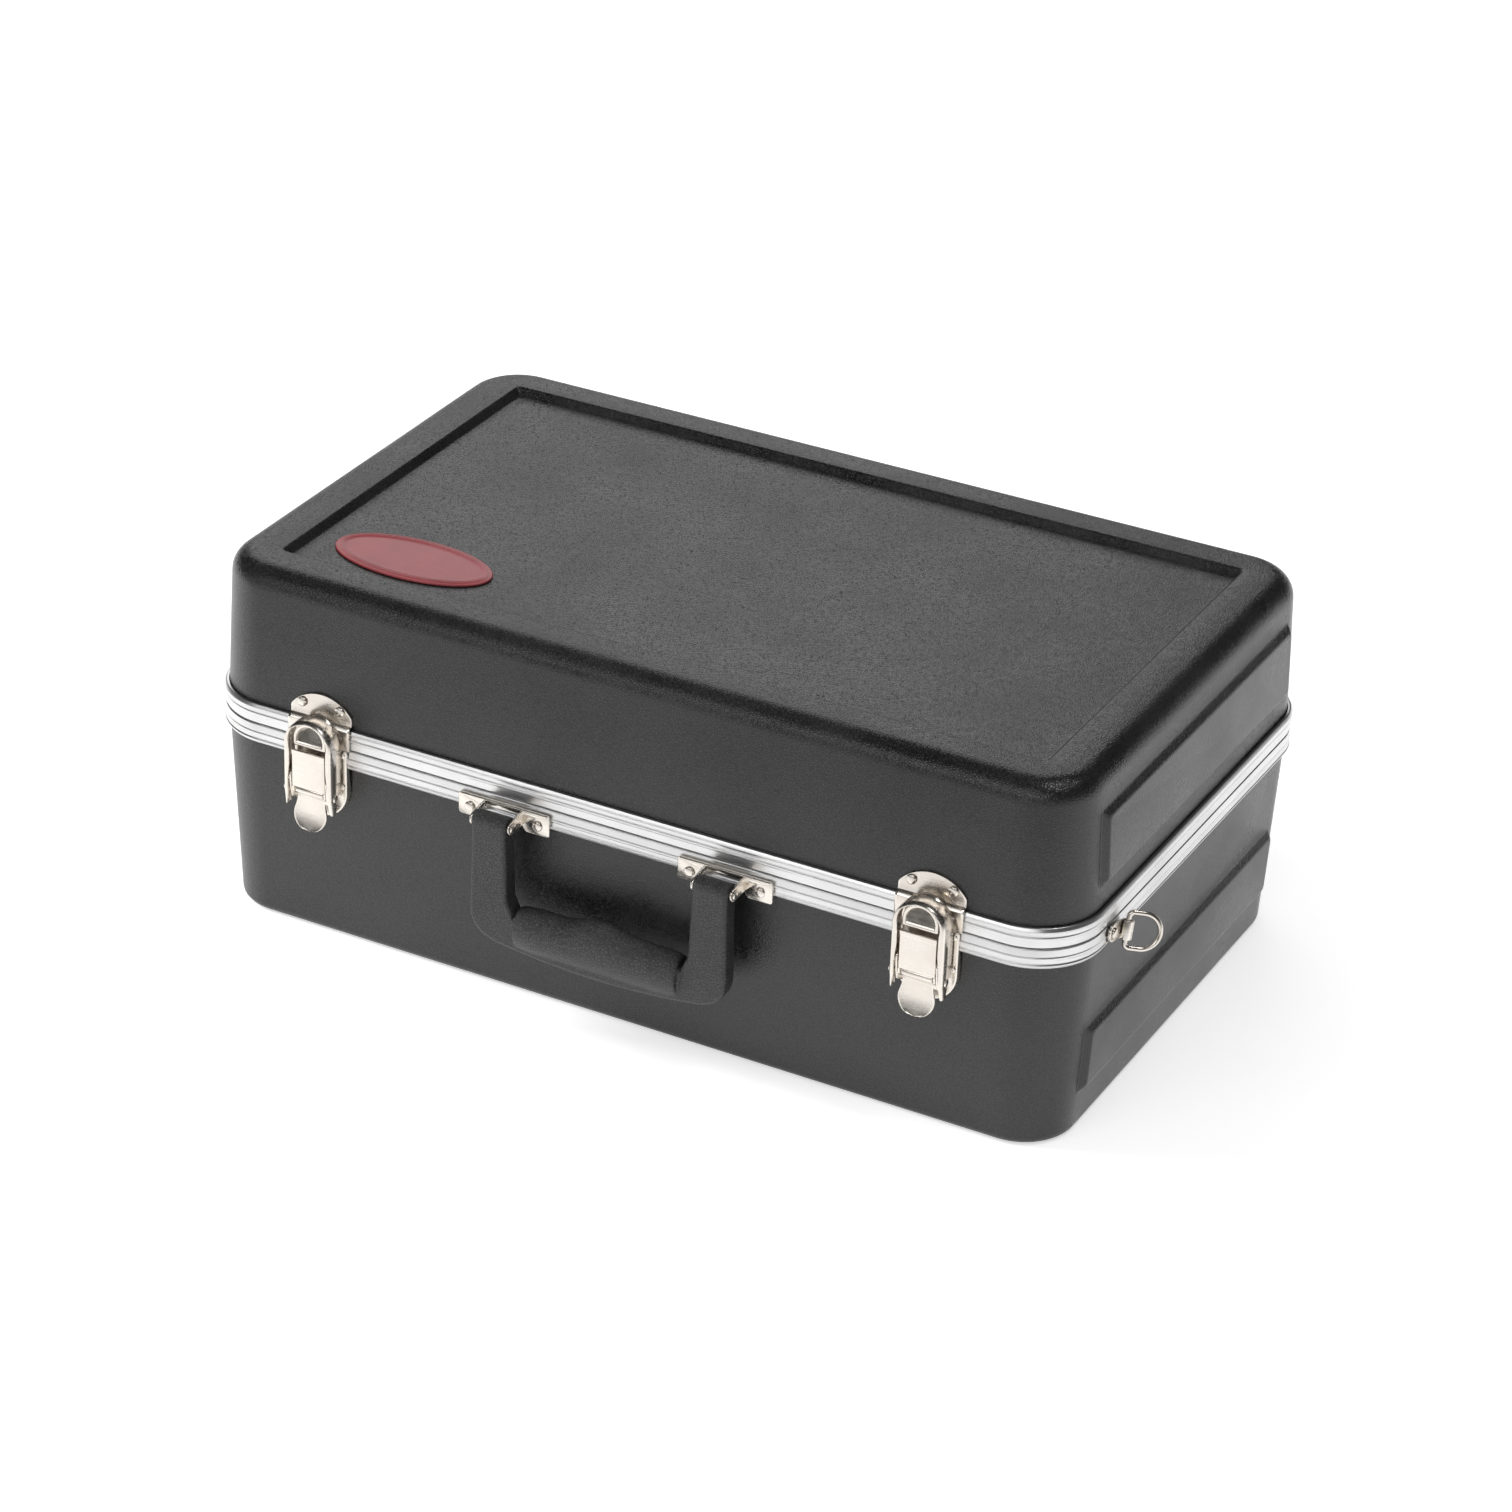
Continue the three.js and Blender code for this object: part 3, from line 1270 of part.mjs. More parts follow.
// Padded lining of the lid: a hollow tray that follows the inside of the shell
function lidLining() {
  const rim = lidShellRim + liningRimRise;
  const outerTop = lidHeight - sunkPanelDepth - shellWall - fitGap;
  const innerTop = outerTop - liningThickness;
  const outerWall = shellWall + fitGap;
  const innerWall = outerWall + liningThickness;
  const edge = lidEdgeRadius - shellWall;
  const outer = wallSection(rim, outerTop, lidFace, edge, outerWall);
  const inner = wallSection(rim, innerTop, lidFace, edge, innerWall);
  inner.unshift([inner[0][0], rim - overrun]);
  return shellSolid(outer, 1).subtract(shellSolid(inner, 1));
}

addLatch('left', -latchSpacing / 2);
addLatch('right', latchSpacing / 2);
addHandle();
addStrapRing('left', -1);
addStrapRing('right', 1);
addHinge('left', -hingeSpacing / 2);
addHinge('right', hingeSpacing / 2);
addPiece(split, 'lid_shell', lidShell(), moulded);
addPiece(split, 'base_shell', baseShell(), moulded);
addPiece(split, 'lid_band', lidBand(), aluminium);
addPiece(split, 'base_band', baseBand(), aluminium);
const plate = addPiece(split, 'lid_badge', badge(), redPlate);
plate.position.set(-badgeFromCentreX, -badgeFromCentreY, lidHeight - sunkPanelDepth + seatGap);
addPiece(split, 'base_insert', baseInsert(), plush);
addPiece(split, 'pocket_block', pocketBlock(), plush);
addPiece(split, 'accessory_block', accessoryBlock(), plush);
addPiece(split, 'lid_lining', lidLining(), plush);
addPiece(split, 'accessory_lid', accessoryLid(), plush);
addPiece(split, 'accessory_tab', pullTab(), leather);

export default cornetCase;
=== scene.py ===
# %% [markdown]
# # A cornet case, piece by piece
# The case is two moulded plastic shells held in an aluminium edge band, with nickel-plated
# hardware. A mechanical model of it is loaded first. It fixes where every piece is and how it
# moves. Each piece below is then made again with its real roundings and given its finish.

import math

import bmesh
import bpy
from mathutils import Matrix, Vector, noise


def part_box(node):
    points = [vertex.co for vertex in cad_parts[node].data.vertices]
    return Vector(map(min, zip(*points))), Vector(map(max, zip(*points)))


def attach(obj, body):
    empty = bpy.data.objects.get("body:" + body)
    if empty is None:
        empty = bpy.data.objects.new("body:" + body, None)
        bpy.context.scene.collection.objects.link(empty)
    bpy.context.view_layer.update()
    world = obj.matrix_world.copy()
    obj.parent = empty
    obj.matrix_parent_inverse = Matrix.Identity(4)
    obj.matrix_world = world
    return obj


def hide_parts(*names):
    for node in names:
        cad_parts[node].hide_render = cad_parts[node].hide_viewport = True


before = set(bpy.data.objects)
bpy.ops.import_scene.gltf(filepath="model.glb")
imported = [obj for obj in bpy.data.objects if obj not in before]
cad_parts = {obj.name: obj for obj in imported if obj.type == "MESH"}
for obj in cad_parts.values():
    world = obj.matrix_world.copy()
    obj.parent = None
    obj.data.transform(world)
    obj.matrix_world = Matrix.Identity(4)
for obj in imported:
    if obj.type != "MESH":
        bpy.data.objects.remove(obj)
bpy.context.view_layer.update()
print("nodes:", len(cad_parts))

# %% [markdown]
# ## Places
# A case maker measures from the split between lid and base, because all the hardware is set
# out from there. So every height here is counted from the split, in millimetres, and turned
# into metres only when a mesh is made. Hardware on a wall has a frame of its own: x along the
# wall, u outward from the face of the band, z up from the split.

# %% Sizes of the whole case and the frames of its walls
MM = 0.001
SPLIT = 98.0  # height of the split over the underside
HALF_LENGTH, HALF_WIDTH, CORNER = 209.5, 127.0, 31.0  # of the band, seen from above
LID_HEIGHT, BASE_HEIGHT = 72.5, SPLIT
BAND_HEIGHT = 9.4
BAND_PROUD = 2.5  # band face in front of the shell face
SHELL_WALL = 2.8
SHEET_BACK, SHEET_FRONT = 0.2, 1.2  # of a pressed plate, from the band face
LID_DRAFT = math.tan(math.radians(2.2))
BASE_DRAFT = math.tan(math.radians(2.7))


def front_wall(x0):
    return lambda x, u, z: (x0 + x, -HALF_WIDTH - u, z)


def back_wall(x0):
    return lambda x, u, z: (x0 - x, HALF_WIDTH + u, z)


def lid_face(z):
    return -BAND_PROUD - max(0.0, z - BAND_HEIGHT) * LID_DRAFT


def base_face(drop):
    return -BAND_PROUD - max(0.0, drop - BAND_HEIGHT) * BASE_DRAFT


print("shell face at the top of the lid: %.2f mm behind the band" % -lid_face(LID_HEIGHT))

# %% [markdown]
# ## A small kit of shapes
# Nearly all of the case is made in three ways: flat outlines pushed through a thickness, rings
# joined one to the next, and profiles turned round an axis. Each helper gives back points and
# faces, so that several can be put into one mesh. Outlines get rounded corners first, because
# pressed sheet and moulded plastic have no sharp corner anywhere.

# %% Outlines
def steps_of(start, end, count):
    """Evenly spaced numbers from start to end"""
    return [start + (end - start) * i / count for i in range(count + 1)]


def unit(turn):
    """Cosine and sine of a turn in degrees"""
    return math.cos(math.radians(turn)), math.sin(math.radians(turn))


def circle(sides):
    """Cosine and sine of equal turns, once round"""
    turns = [math.tau * i / sides for i in range(sides)]
    return [(math.cos(t), math.sin(t)) for t in turns]


def arc(x, y, radius, start, end, steps):
    return [(x + radius * c, y + radius * s) for c, s in map(unit, steps_of(start, end, steps))]


def rounded(points, cut, steps=4):
    """Cuts each corner back by cut, or by its own third number, and puts a smooth bend there"""
    result = []
    for i, corner in enumerate(points):
        here = Vector(corner[:2])
        reach = corner[2] if len(corner) > 2 else cut
        before = Vector(points[i - 1][:2]) - here
        after = Vector(points[(i + 1) % len(points)][:2]) - here
        reach = min(reach, before.length * 0.48, after.length * 0.48)
        if reach < 1e-4:
            result.append(tuple(here))
            continue
        start = here + before.normalized() * reach
        end = here + after.normalized() * reach
        for step in range(steps + 1):
            t = step / steps
            result.append(tuple(start * (1 - t) ** 2 + here * 2 * t * (1 - t) + end * t * t))
    return result


def rounded_plan(half_x, half_y, radius, z, steps=14):
    """A ring in plan, like the case seen from above"""
    ring = []
    for sx, sy, start in ((1, -1, -90), (1, 1, 0), (-1, 1, 90), (-1, -1, 180)):
        cx, cy = sx * (half_x - radius), sy * (half_y - radius)
        ring += [(x, y, z) for x, y in arc(cx, cy, radius, start, start + 90, steps)]
    return ring


def case_ring(inset, z):
    return rounded_plan(HALF_LENGTH - inset, HALF_WIDTH - inset, CORNER - inset, z)


print("points in a ring of the case:", len(case_ring(0, 0)))

# %% Solids from outlines
def prism(outline, start, end, put):
    """A flat outline pushed from start to end"""
    count = len(outline)
    points = [put(a, b, start) for a, b in outline] + [put(a, b, end) for a, b in outline]
    faces = [list(range(count))[::-1], list(range(count, count * 2))]
    for i in range(count):
        j = (i + 1) % count
        faces.append([i, j, count + j, count + i])
    return points, faces


def pressed(frame_at, outline, back, front):
    """Drawn as seen from outside, x and z, with a back and a front face"""
    return prism(outline, back, front, lambda x, z, u: frame_at(x, u, z))


def folded(frame_at, outline, left, right):
    """Drawn in section, u and z, and pushed along the wall"""
    return prism(outline, left, right, lambda u, z, x: frame_at(x, u, z))


def loft(rings, closed=False):
    """Rings joined one to the next, and closed with a cap at each end or with each other"""
    count = len(rings[0])
    points = [p for ring in rings for p in ring]
    faces = []
    for row in range(len(rings) if closed else len(rings) - 1):
        low, high = row * count, (row + 1) % len(rings) * count
        for i in range(count):
            j = (i + 1) % count
            faces.append([low + i, low + j, high + j, high + i])
    if not closed:
        faces.append(list(range(count))[::-1])
        faces.append(list(range(len(points) - count, len(points))))
    return points, faces


def turned(profile, spot, sides=24):
    """A profile of (radius, place along the axis) turned round an axis"""
    return loft([[spot(radius * c, radius * s, along) for c, s in circle(sides)]
                 for radius, along in profile])


def turned_out(frame_at, x, z, profile, sides=24):
    return turned(profile, lambda c, s, u: frame_at(x + c, u, z + s), sides)


def turned_along(frame_at, u, z, profile, sides=20):
    return turned(profile, lambda c, s, x: frame_at(x, u + c, z + s), sides)


def both_ends(half):
    """A profile drawn up to its middle, and mirrored for the other half"""
    return half + [(radius, -along) for radius, along in half[::-1]]


def as_drawn(x, y, z):
    return x, y, z


bar = prism([(0, 0), (1, 0), (1, 1), (0, 1)], 0, 1, as_drawn)
print("a plain bar: %d corners and %d faces" % (len(bar[0]), len(bar[1])))

# %% [markdown]
# ## From points to a finished object
# One function turns the points and faces into an object, rounds its edges a little, gives it its
# material, hangs it on the body it moves with, and hides the node of the model it stands for.
# A narrow bevel with hardened normals is what makes sheet metal catch the light along its edges.


def apply_modifiers(obj):
    graph = bpy.context.evaluated_depsgraph_get()
    finished = bpy.data.meshes.new_from_object(obj.evaluated_get(graph), depsgraph=graph)
    old = obj.data
    obj.modifiers.clear()
    obj.data = finished
    bpy.data.meshes.remove(old)
    finished.name = obj.name


def smooth_shading(obj, angle=38):
    obj.data.shade_smooth()
    obj.data.set_sharp_from_angle(angle=math.radians(angle))


def into_scene(name, data):
    obj = bpy.data.objects.new(name, data)
    bpy.context.scene.collection.objects.link(obj)
    return obj


def raw_object(name, parts):
    mesh = bpy.data.meshes.new(name)
    bm = bmesh.new()
    for points, faces in parts:
        corners = [bm.verts.new((x * MM, y * MM, (z + SPLIT) * MM)) for x, y, z in points]
        for face in faces:
            bm.faces.new([corners[i] for i in face])
    bmesh.ops.recalc_face_normals(bm, faces=bm.faces)
    bm.to_mesh(mesh)
    bm.free()
    return into_scene(name, mesh)


def settle(obj, material, body, nodes):
    obj.data.materials.clear()
    obj.data.materials.append(material)
    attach(obj, body)
    if nodes:
        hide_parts(*nodes)
    obj.name
    return obj


def make_piece(name, parts, material, body, nodes, edge=0.0, segments=2, angle=38):
    obj = raw_object(name, parts)
    if edge:
        bevel = obj.modifiers.new("rounded edges", "BEVEL")
        bevel.width = edge * MM
        bevel.segments = segments
        bevel.limit_method = "ANGLE"
        bevel.angle_limit = math.radians(30)
        bevel.use_clamp_overlap = True
        bevel.harden_normals = True
        apply_modifiers(obj)
    smooth_shading(obj, angle)
    return settle(obj, material, body, nodes)


# %% [markdown]
# ## Finishes
# Each finish is made from noise in the object's own space, so that it has its real scale on
# every piece and stays put when a piece moves. Colour that is the same all over is set on the
# shader itself. Only what really varies, such as grain, smudges or dust, comes through nodes.

# %% A start for every material
def new_material(name, color, roughness, metallic=0.0):
    material = bpy.data.materials.new(name)
    material.use_nodes = True
    shader = material.node_tree.nodes["Principled BSDF"]
    shader.inputs["Base Color"].default_value = (*color, 1)
    shader.inputs["Roughness"].default_value = roughness
    shader.inputs["Metallic"].default_value = metallic
    material.diffuse_color = (*color, 1)
    return material, material.node_tree.nodes, material.node_tree.links, shader


def noise_at(nodes, links, source, scale, detail=3.0, stretch=(1, 1, 1), rough=0.55):
    mapping = nodes.new("ShaderNodeMapping")
    mapping.inputs["Scale"].default_value = stretch
    links.new(source, mapping.inputs["Vector"])
    texture = nodes.new("ShaderNodeTexNoise")
    texture.inputs["Scale"].default_value = scale
    texture.inputs["Detail"].default_value = detail
    texture.inputs["Roughness"].default_value = rough
    links.new(mapping.outputs["Vector"], texture.inputs["Vector"])
    return texture.outputs["Fac"]


def remap(nodes, links, value, low, high, out_low, out_high):
    node = nodes.new("ShaderNodeMapRange")
    sockets = ("From Min", "From Max", "To Min", "To Max")
    for key, number in zip(sockets, (low, high, out_low, out_high)):
        node.inputs[key].default_value = number
    links.new(value, node.inputs["Value"])
    return node.outputs["Result"]


def combine(nodes, links, operation, a, b):
    node = nodes.new("ShaderNodeMath")
    node.operation = operation
    for i, value in enumerate((a, b)):
        if isinstance(value, (int, float)):
            node.inputs[i].default_value = value
        else:
            links.new(value, node.inputs[i])
    return node.outputs["Value"]


def bump(nodes, links, shader, height, strength, distance):
    node = nodes.new("ShaderNodeBump")
    node.inputs["Strength"].default_value = strength
    node.inputs["Distance"].default_value = distance
    links.new(height, node.inputs["Height"])
    links.new(node.outputs["Normal"], shader.inputs["Normal"])


def tinted(nodes, links, shader, value, dark, light, low=0.35, high=0.65):
    ramp = nodes.new("ShaderNodeValToRGB")
    ramp.color_ramp.elements[0].position = low
    ramp.color_ramp.elements[0].color = (*dark, 1)
    ramp.color_ramp.elements[1].position = high
    ramp.color_ramp.elements[1].color = (*light, 1)
    links.new(value, ramp.inputs["Fac"])
    links.new(ramp.outputs["Color"], shader.inputs["Base Color"])


def own_space(nodes):
    return nodes.new("ShaderNodeTexCoord").outputs["Object"]


print("materials in the model:", len(bpy.data.materials))

# %% [markdown]
# ### Moulded shell
# The shells are black plastic moulded with a leather grain: small soft pebbles with creases between
# them. Cells whose borders are pushed about by a little noise give the pebbles. The colour lies in
# the plastic. It is painted a little greyer on the crests of the pebbles, which is a painted
# highlight for the light that catches the grain.

# %% Leather-grained plastic
def grain_height(nodes, links, source, cells, wander):
    push = nodes.new("ShaderNodeTexNoise")
    push.inputs["Scale"].default_value = cells * 0.45
    push.inputs["Detail"].default_value = 2.0
    links.new(source, push.inputs["Vector"])
    shift = nodes.new("ShaderNodeVectorMath")
    shift.operation = "SCALE"
    shift.inputs["Scale"].default_value = wander
    links.new(push.outputs["Color"], shift.inputs[0])
    moved = nodes.new("ShaderNodeVectorMath")
    moved.operation = "ADD"
    links.new(source, moved.inputs[0])
    links.new(shift.outputs["Vector"], moved.inputs[1])
    pebbles = nodes.new("ShaderNodeTexVoronoi")
    pebbles.feature = "DISTANCE_TO_EDGE"
    pebbles.inputs["Scale"].default_value = cells
    links.new(moved.outputs["Vector"], pebbles.inputs["Vector"])
    return remap(nodes, links, pebbles.outputs["Distance"], 0.0, 0.28, 0.0, 1.0)


def grained_plastic(name, color, crest_highlight, roughness, cells, depth):
    material, nodes, links, shader = new_material(name, color, roughness)
    shader.inputs["IOR"].default_value = 1.55
    source = own_space(nodes)
    pebbles = grain_height(nodes, links, source, cells, 1.0 / cells)
    fine = noise_at(nodes, links, source, cells * 1.7, 2)
    clouds = noise_at(nodes, links, source, 22, 4)
    height = combine(nodes, links, "ADD", pebbles, combine(nodes, links, "MULTIPLY", fine, 0.7))
    bump(nodes, links, shader, height, strength=0.6, distance=depth)
    # painted highlight: the crests of the pebbles are made lighter in colour, as if lit, and the
    # clouds add a tone that varies at random
    grain_highlight_and_tone = combine(nodes, links, "ADD", combine(nodes, links, "MULTIPLY", pebbles, 0.4),
                    combine(nodes, links, "MULTIPLY", clouds, 0.6))
    tinted(nodes, links, shader, grain_highlight_and_tone, color, crest_highlight, 0.25, 0.8)
    links.new(remap(nodes, links, clouds, 0.3, 0.7, roughness - 0.05, roughness + 0.07),
              shader.inputs["Roughness"])
    return material


# the third colour of each plastic is its painted highlight on the crests of the grain
shell_plastic = grained_plastic("moulded_shell", (0.004, 0.004, 0.0042), (0.028, 0.028, 0.0283),
                                roughness=0.30, cells=800, depth=0.00011)
handle_plastic = grained_plastic("handle_skin", (0.009, 0.009, 0.0093), (0.058, 0.058, 0.059),
                                 roughness=0.42, cells=760, depth=0.00026)
print("grained plastics:", shell_plastic.name, handle_plastic.name)

# %% [markdown]
# ### Aluminium band
# The band is an extruded section with a satin anodised finish. Extruding leaves very fine lines
# along it. The band runs level all round the case, so noise that is stretched in plan and
# crowded in height draws lines along it on the long sides, the ends and the corners alike.

# %% Satin aluminium
aluminium, nodes, links, shader = new_material("edge_band", (0.74, 0.74, 0.74), 0.32, 1.0)
source = own_space(nodes)
lines = noise_at(nodes, links, source, 6, detail=4, stretch=(1, 1, 900), rough=0.7)
clouds = noise_at(nodes, links, source, 30, 4)
bump(nodes, links, shader, lines, strength=0.05, distance=0.00004)
links.new(remap(nodes, links, lines, 0.3, 0.7, 0.26, 0.36), shader.inputs["Roughness"])
tinted(nodes, links, shader, clouds, (0.69, 0.69, 0.69), (0.77, 0.77, 0.77))
print("band finish:", aluminium.name)

# %% [markdown]
# ### Nickel plate
# The hardware is pressed steel with bright nickel plate, which is warmer than chrome. Such
# plating is never a perfect mirror: it has a faint ripple from the pressing, hairline scratches
# and a haze of finger marks. These go into the roughness and a very weak bump.

# %% Warm nickel
nickel, nodes, links, shader = new_material("nickel_hardware", (0.79, 0.74, 0.68), 0.17, 1.0)
source = own_space(nodes)
haze = noise_at(nodes, links, source, 90, 5)
scratches = noise_at(nodes, links, source, 700, detail=2, stretch=(0.12, 1, 2.2), rough=0.6)
ripple = noise_at(nodes, links, source, 160, 2)
worn = combine(nodes, links, "MULTIPLY", haze, scratches)
links.new(remap(nodes, links, worn, 0.1, 0.4, 0.16, 0.31), shader.inputs["Roughness"])
tinted(nodes, links, shader, haze, (0.76, 0.705, 0.64), (0.82, 0.775, 0.715))
relief = combine(nodes, links, "ADD", ripple, combine(nodes, links, "MULTIPLY", scratches, 0.06))
bump(nodes, links, shader, relief, strength=0.12, distance=0.00025)
print("hardware finish:", nickel.name)

# %% [markdown]
# ### Red plate, plush and leather
# The oval is a plate of glossy plastic in a slightly mottled red. The inside is short-pile
# plush: dark, with fibres that catch light at grazing angles, which is what sheen does. The
# pull tab is a strip of smooth leather with fine creases.

# %% Gloss red, plush and leather
red_gloss, nodes, links, shader = new_material("badge_plate", (0.25, 0.036, 0.041), 0.3)
source = own_space(nodes)
mottle = noise_at(nodes, links, source, 60, 4)
tinted(nodes, links, shader, mottle, (0.225, 0.033, 0.038), (0.27, 0.041, 0.047))
bump(nodes, links, shader, noise_at(nodes, links, source, 900, 3), strength=0.06, distance=0.0001)

plush, nodes, links, shader = new_material("plush_lining", (0.016, 0.016, 0.02), 0.95)
source = own_space(nodes)
shader.inputs["Sheen Weight"].default_value = 0.6
shader.inputs["Sheen Roughness"].default_value = 0.45
shader.inputs["Sheen Tint"].default_value = (0.55, 0.56, 0.62, 1)
pile = noise_at(nodes, links, source, 1900, detail=4, rough=0.7)
brushed = noise_at(nodes, links, source, 35, 4)
relief = combine(nodes, links, "ADD", pile, combine(nodes, links, "MULTIPLY", brushed, 1.4))
bump(nodes, links, shader, relief, strength=0.8, distance=0.0006)
tinted(nodes, links, shader, combine(nodes, links, "MULTIPLY", pile, brushed),
       (0.010, 0.010, 0.013), (0.035, 0.035, 0.042), 0.12, 0.42)

leather, nodes, links, shader = new_material("tab_leather", (0.02, 0.016, 0.014), 0.5)
source = own_space(nodes)
creases = grain_height(nodes, links, source, 1300, 0.0006)
bump(nodes, links, shader, creases, strength=0.35, distance=0.0001)
mottle = noise_at(nodes, links, source, 120, 4)
tinted(nodes, links, shader, mottle, (0.016, 0.013, 0.011), (0.03, 0.024, 0.02))
print("finishes:", red_gloss.name, plush.name, leather.name)

# %% [markdown]
# ## The two shells
# Each shell is a deep tray with walls that lean in a little, so that it leaves its mould. The
# lid has a generous round edge and a shallow sunken panel in its top. Rings of the case's plan,
# set one after the other from the middle of the outside to the middle of the inside, give both
# skins and the rim in one closed surface.

# %% Walls of a shell
def wall_rings(rim, reach, face, edge, wall, up, steps=8):
    """From the rim to where the flat face begins: plan rings of one skin"""
    rings = [case_ring(-face(0) + wall, up * rim),
             case_ring(-face(BAND_HEIGHT) + wall, up * BAND_HEIGHT)]
    start = reach - edge
    for c, s in map(unit, steps_of(0, 90, steps)):
        rings.append(case_ring(-face(start) + wall + edge * (1 - c), up * (start + edge * s)))
    return rings


def end_pad(side, up, low, high, face):
    """A raised pad on an end of the case, with a small hollow where its slope meets the wall"""
    half, proud, slope, top_slope, corner = 97.0, 2.7, 2.7, 2.8, 2.2
    rings = []
    for grow, lift in ((1.1, -1.4), (1.1, -0.02), (0.55, 0.06), (0.12, 0.3), (-0.5, 0.75),
                       (-slope + 0.75, proud - 0.6), (-slope + 0.15, proud - 0.14),
                       (-slope - 0.7, proud)):
        share = grow / slope
        a, b = low - share * top_slope, high + share * top_slope
        y = half + grow
        corners = rounded([(-y, a), (y, a), (y, b), (-y, b)], corner + max(0.0, grow), 4)
        rings.append([(side * (HALF_LENGTH + face(abs(z)) + lift), t, up * z) for t, z in corners])
    return loft(rings)


LID_PAD, BASE_PAD = (20.0, 54.5), (47.2, 79.0)  # heights, counted from the split
print("pad on the lid: %d faces" % len(end_pad(1, 1, *LID_PAD, lid_face)[1]))

# %% Lid shell
LID_RIM, LID_EDGE = 4.5, 10.0
PANEL_X, PANEL_Y, PANEL_DEPTH, PANEL_SLOPE = 181.5, 100.5, 3.5, 2.6
panel_floor = LID_HEIGHT - PANEL_DEPTH

# over the rim of the panel and down its slope: drawn in by, height, corner radius
PANEL_STEPS = [(-0.7, LID_HEIGHT, 3.2), (-0.2, LID_HEIGHT - 0.12, 2.8),
               (0.25, LID_HEIGHT - 0.6, 2.5), (PANEL_SLOPE - 0.4, panel_floor + 0.55, 1.6),
               (PANEL_SLOPE, panel_floor + 0.12, 1.5), (PANEL_SLOPE + 0.8, panel_floor, 1.4)]

outside = wall_rings(LID_RIM, LID_HEIGHT, lid_face, LID_EDGE, 0.0, 1)
outside += [rounded_plan(PANEL_X - shrink, PANEL_Y - shrink, radius, z)
            for shrink, z, radius in PANEL_STEPS]
roof = panel_floor - SHELL_WALL
inside = wall_rings(LID_RIM, roof, lid_face, LID_EDGE - SHELL_WALL, SHELL_WALL, 1)
lid_pads = [end_pad(side, 1, *LID_PAD, lid_face) for side in (-1, 1)]
lid_shell = make_piece("lid_shell_moulded", [loft(outside[::-1] + inside)] + lid_pads,
                       shell_plastic, "lid", ["lid_shell"], angle=50)
print("lid shell:", len(lid_shell.data.polygons), "faces")

# %% Base shell
BASE_RIM, BASE_EDGE = 2.35, 4.0
BASE_FLOOR = BASE_HEIGHT - SHELL_WALL
outside = wall_rings(BASE_RIM, BASE_HEIGHT, base_face, BASE_EDGE, 0.0, -1, 6)
inside = wall_rings(BASE_RIM, BASE_FLOOR, base_face, BASE_EDGE, SHELL_WALL, -1, 6)
base_pads = [end_pad(side, -1, *BASE_PAD, base_face) for side in (-1, 1)]
base_shell = make_piece("base_shell_moulded", [loft(outside[::-1] + inside)] + base_pads,
                        shell_plastic, "case", ["base_shell"], angle=50)
print("base shell:", len(base_shell.data.polygons), "faces")

# %% [markdown]
# ## The edge band
# One length of aluminium section is bent round each shell. Each half has a lip along its
# outer edge, a low bead along its middle and a shallow flute on either side of the bead. The
# base half carries a rib, and the lid half has the groove that it closes into. The outside is
# drawn once, its corners are rounded, and it is carried round the plan of the case.

# %% Lid band and base band
LIP, FLUTE, SKIN, GAP = 0.9, 0.5, 2.2, 0.15


def band_outside():
    """From the split outward: inset from the band face, height, rounding of the corner"""
    middle, lip = BAND_HEIGHT / 2, BAND_HEIGHT - LIP
    return [(FLUTE + 0.55, GAP, 0.1), (FLUTE + 0.05, GAP + 0.45, 0.3),
            (FLUTE, middle - 0.85, 0.2), (0.26, middle - 0.4, 0.2), (0.2, middle, 0.2),
            (0.26, middle + 0.4, 0.2), (FLUTE, middle + 0.85, 0.2), (FLUTE, lip - 1.35, 0.25),
            (0.1, lip - 0.9, 0.2), (0.05, BAND_HEIGHT - 1.5, 0.3), (0.9, BAND_HEIGHT - 0.05, 0.2),
            (1.3, BAND_HEIGHT + 0.05, 0.1), (SKIN, BAND_HEIGHT + 0.1, 0.1)]


def carried_round(section, up):
    profile = rounded(section, 0.2, 3)
    return loft([case_ring(inset, up * z) for inset, z in profile], closed=True)


groove = [(SKIN, 4.2), (8.6, 4.2), (8.6, GAP), (7.1, GAP), (7.1, 3.0), (4.9, 3.0), (4.9, GAP)]
rib = [(SKIN, 2.05), (8.2, 2.05), (8.2, GAP), (6.8, GAP), (6.4, -2.7), (5.6, -2.7), (5.2, GAP)]
for half, body, inner, up in (("lid", "lid", groove, 1), ("base", "case", rib, -1)):
    band = make_piece(half + "_band_section", [carried_round(band_outside() + inner, up)],
                      aluminium, body, [half + "_band"], angle=32)
    print("%s band: %d faces" % (half, len(band.data.polygons)))

# %% [markdown]
# ## The oval plate
# A plain oval of red plastic lies in the front left corner of the sunken panel. Its edge is
# rolled over, a fine raised line runs inside the edge, and its face is crowned by a fraction of
# a millimetre, which is enough to bend the reflection of a window across it.

# %% Oval plate
BADGE_AT, BADGE_HALF = (-131.0, -74.0, panel_floor + 0.2), (38.2, 18.7)
BADGE_STEPS = [(0.5, 0.0), (0.0, 0.15), (0.0, 0.5), (0.2, 0.72), (0.6, 0.8), (2.3, 0.8),
               (2.6, 0.95), (3.1, 0.95), (3.4, 0.8), (6.0, 0.82), (11.0, 0.84), (17.0, 0.85)]


def oval(inset, rise):
    (x, y, z), (half_x, half_y) = BADGE_AT, BADGE_HALF
    return [(x + (half_x - inset) * c, y + (half_y - inset) * s, z + rise) for c, s in circle(96)]


make_piece("oval_plate", [loft([oval(*step) for step in BADGE_STEPS])], red_gloss, "lid",
           ["lid_badge"], angle=60)
print("oval plate: %.1f x %.1f mm, %.2f mm thick"
      % (BADGE_HALF[0] * 2, BADGE_HALF[1] * 2, BADGE_STEPS[-1][1]))

# %% [markdown]
# ## Rivets
# Every rivet on this case is a domed head on a stem. A turned profile with an upright brim
# and a low round crown is enough, because nothing else of a rivet shows. One function makes
# them all, and the model says where each one is.

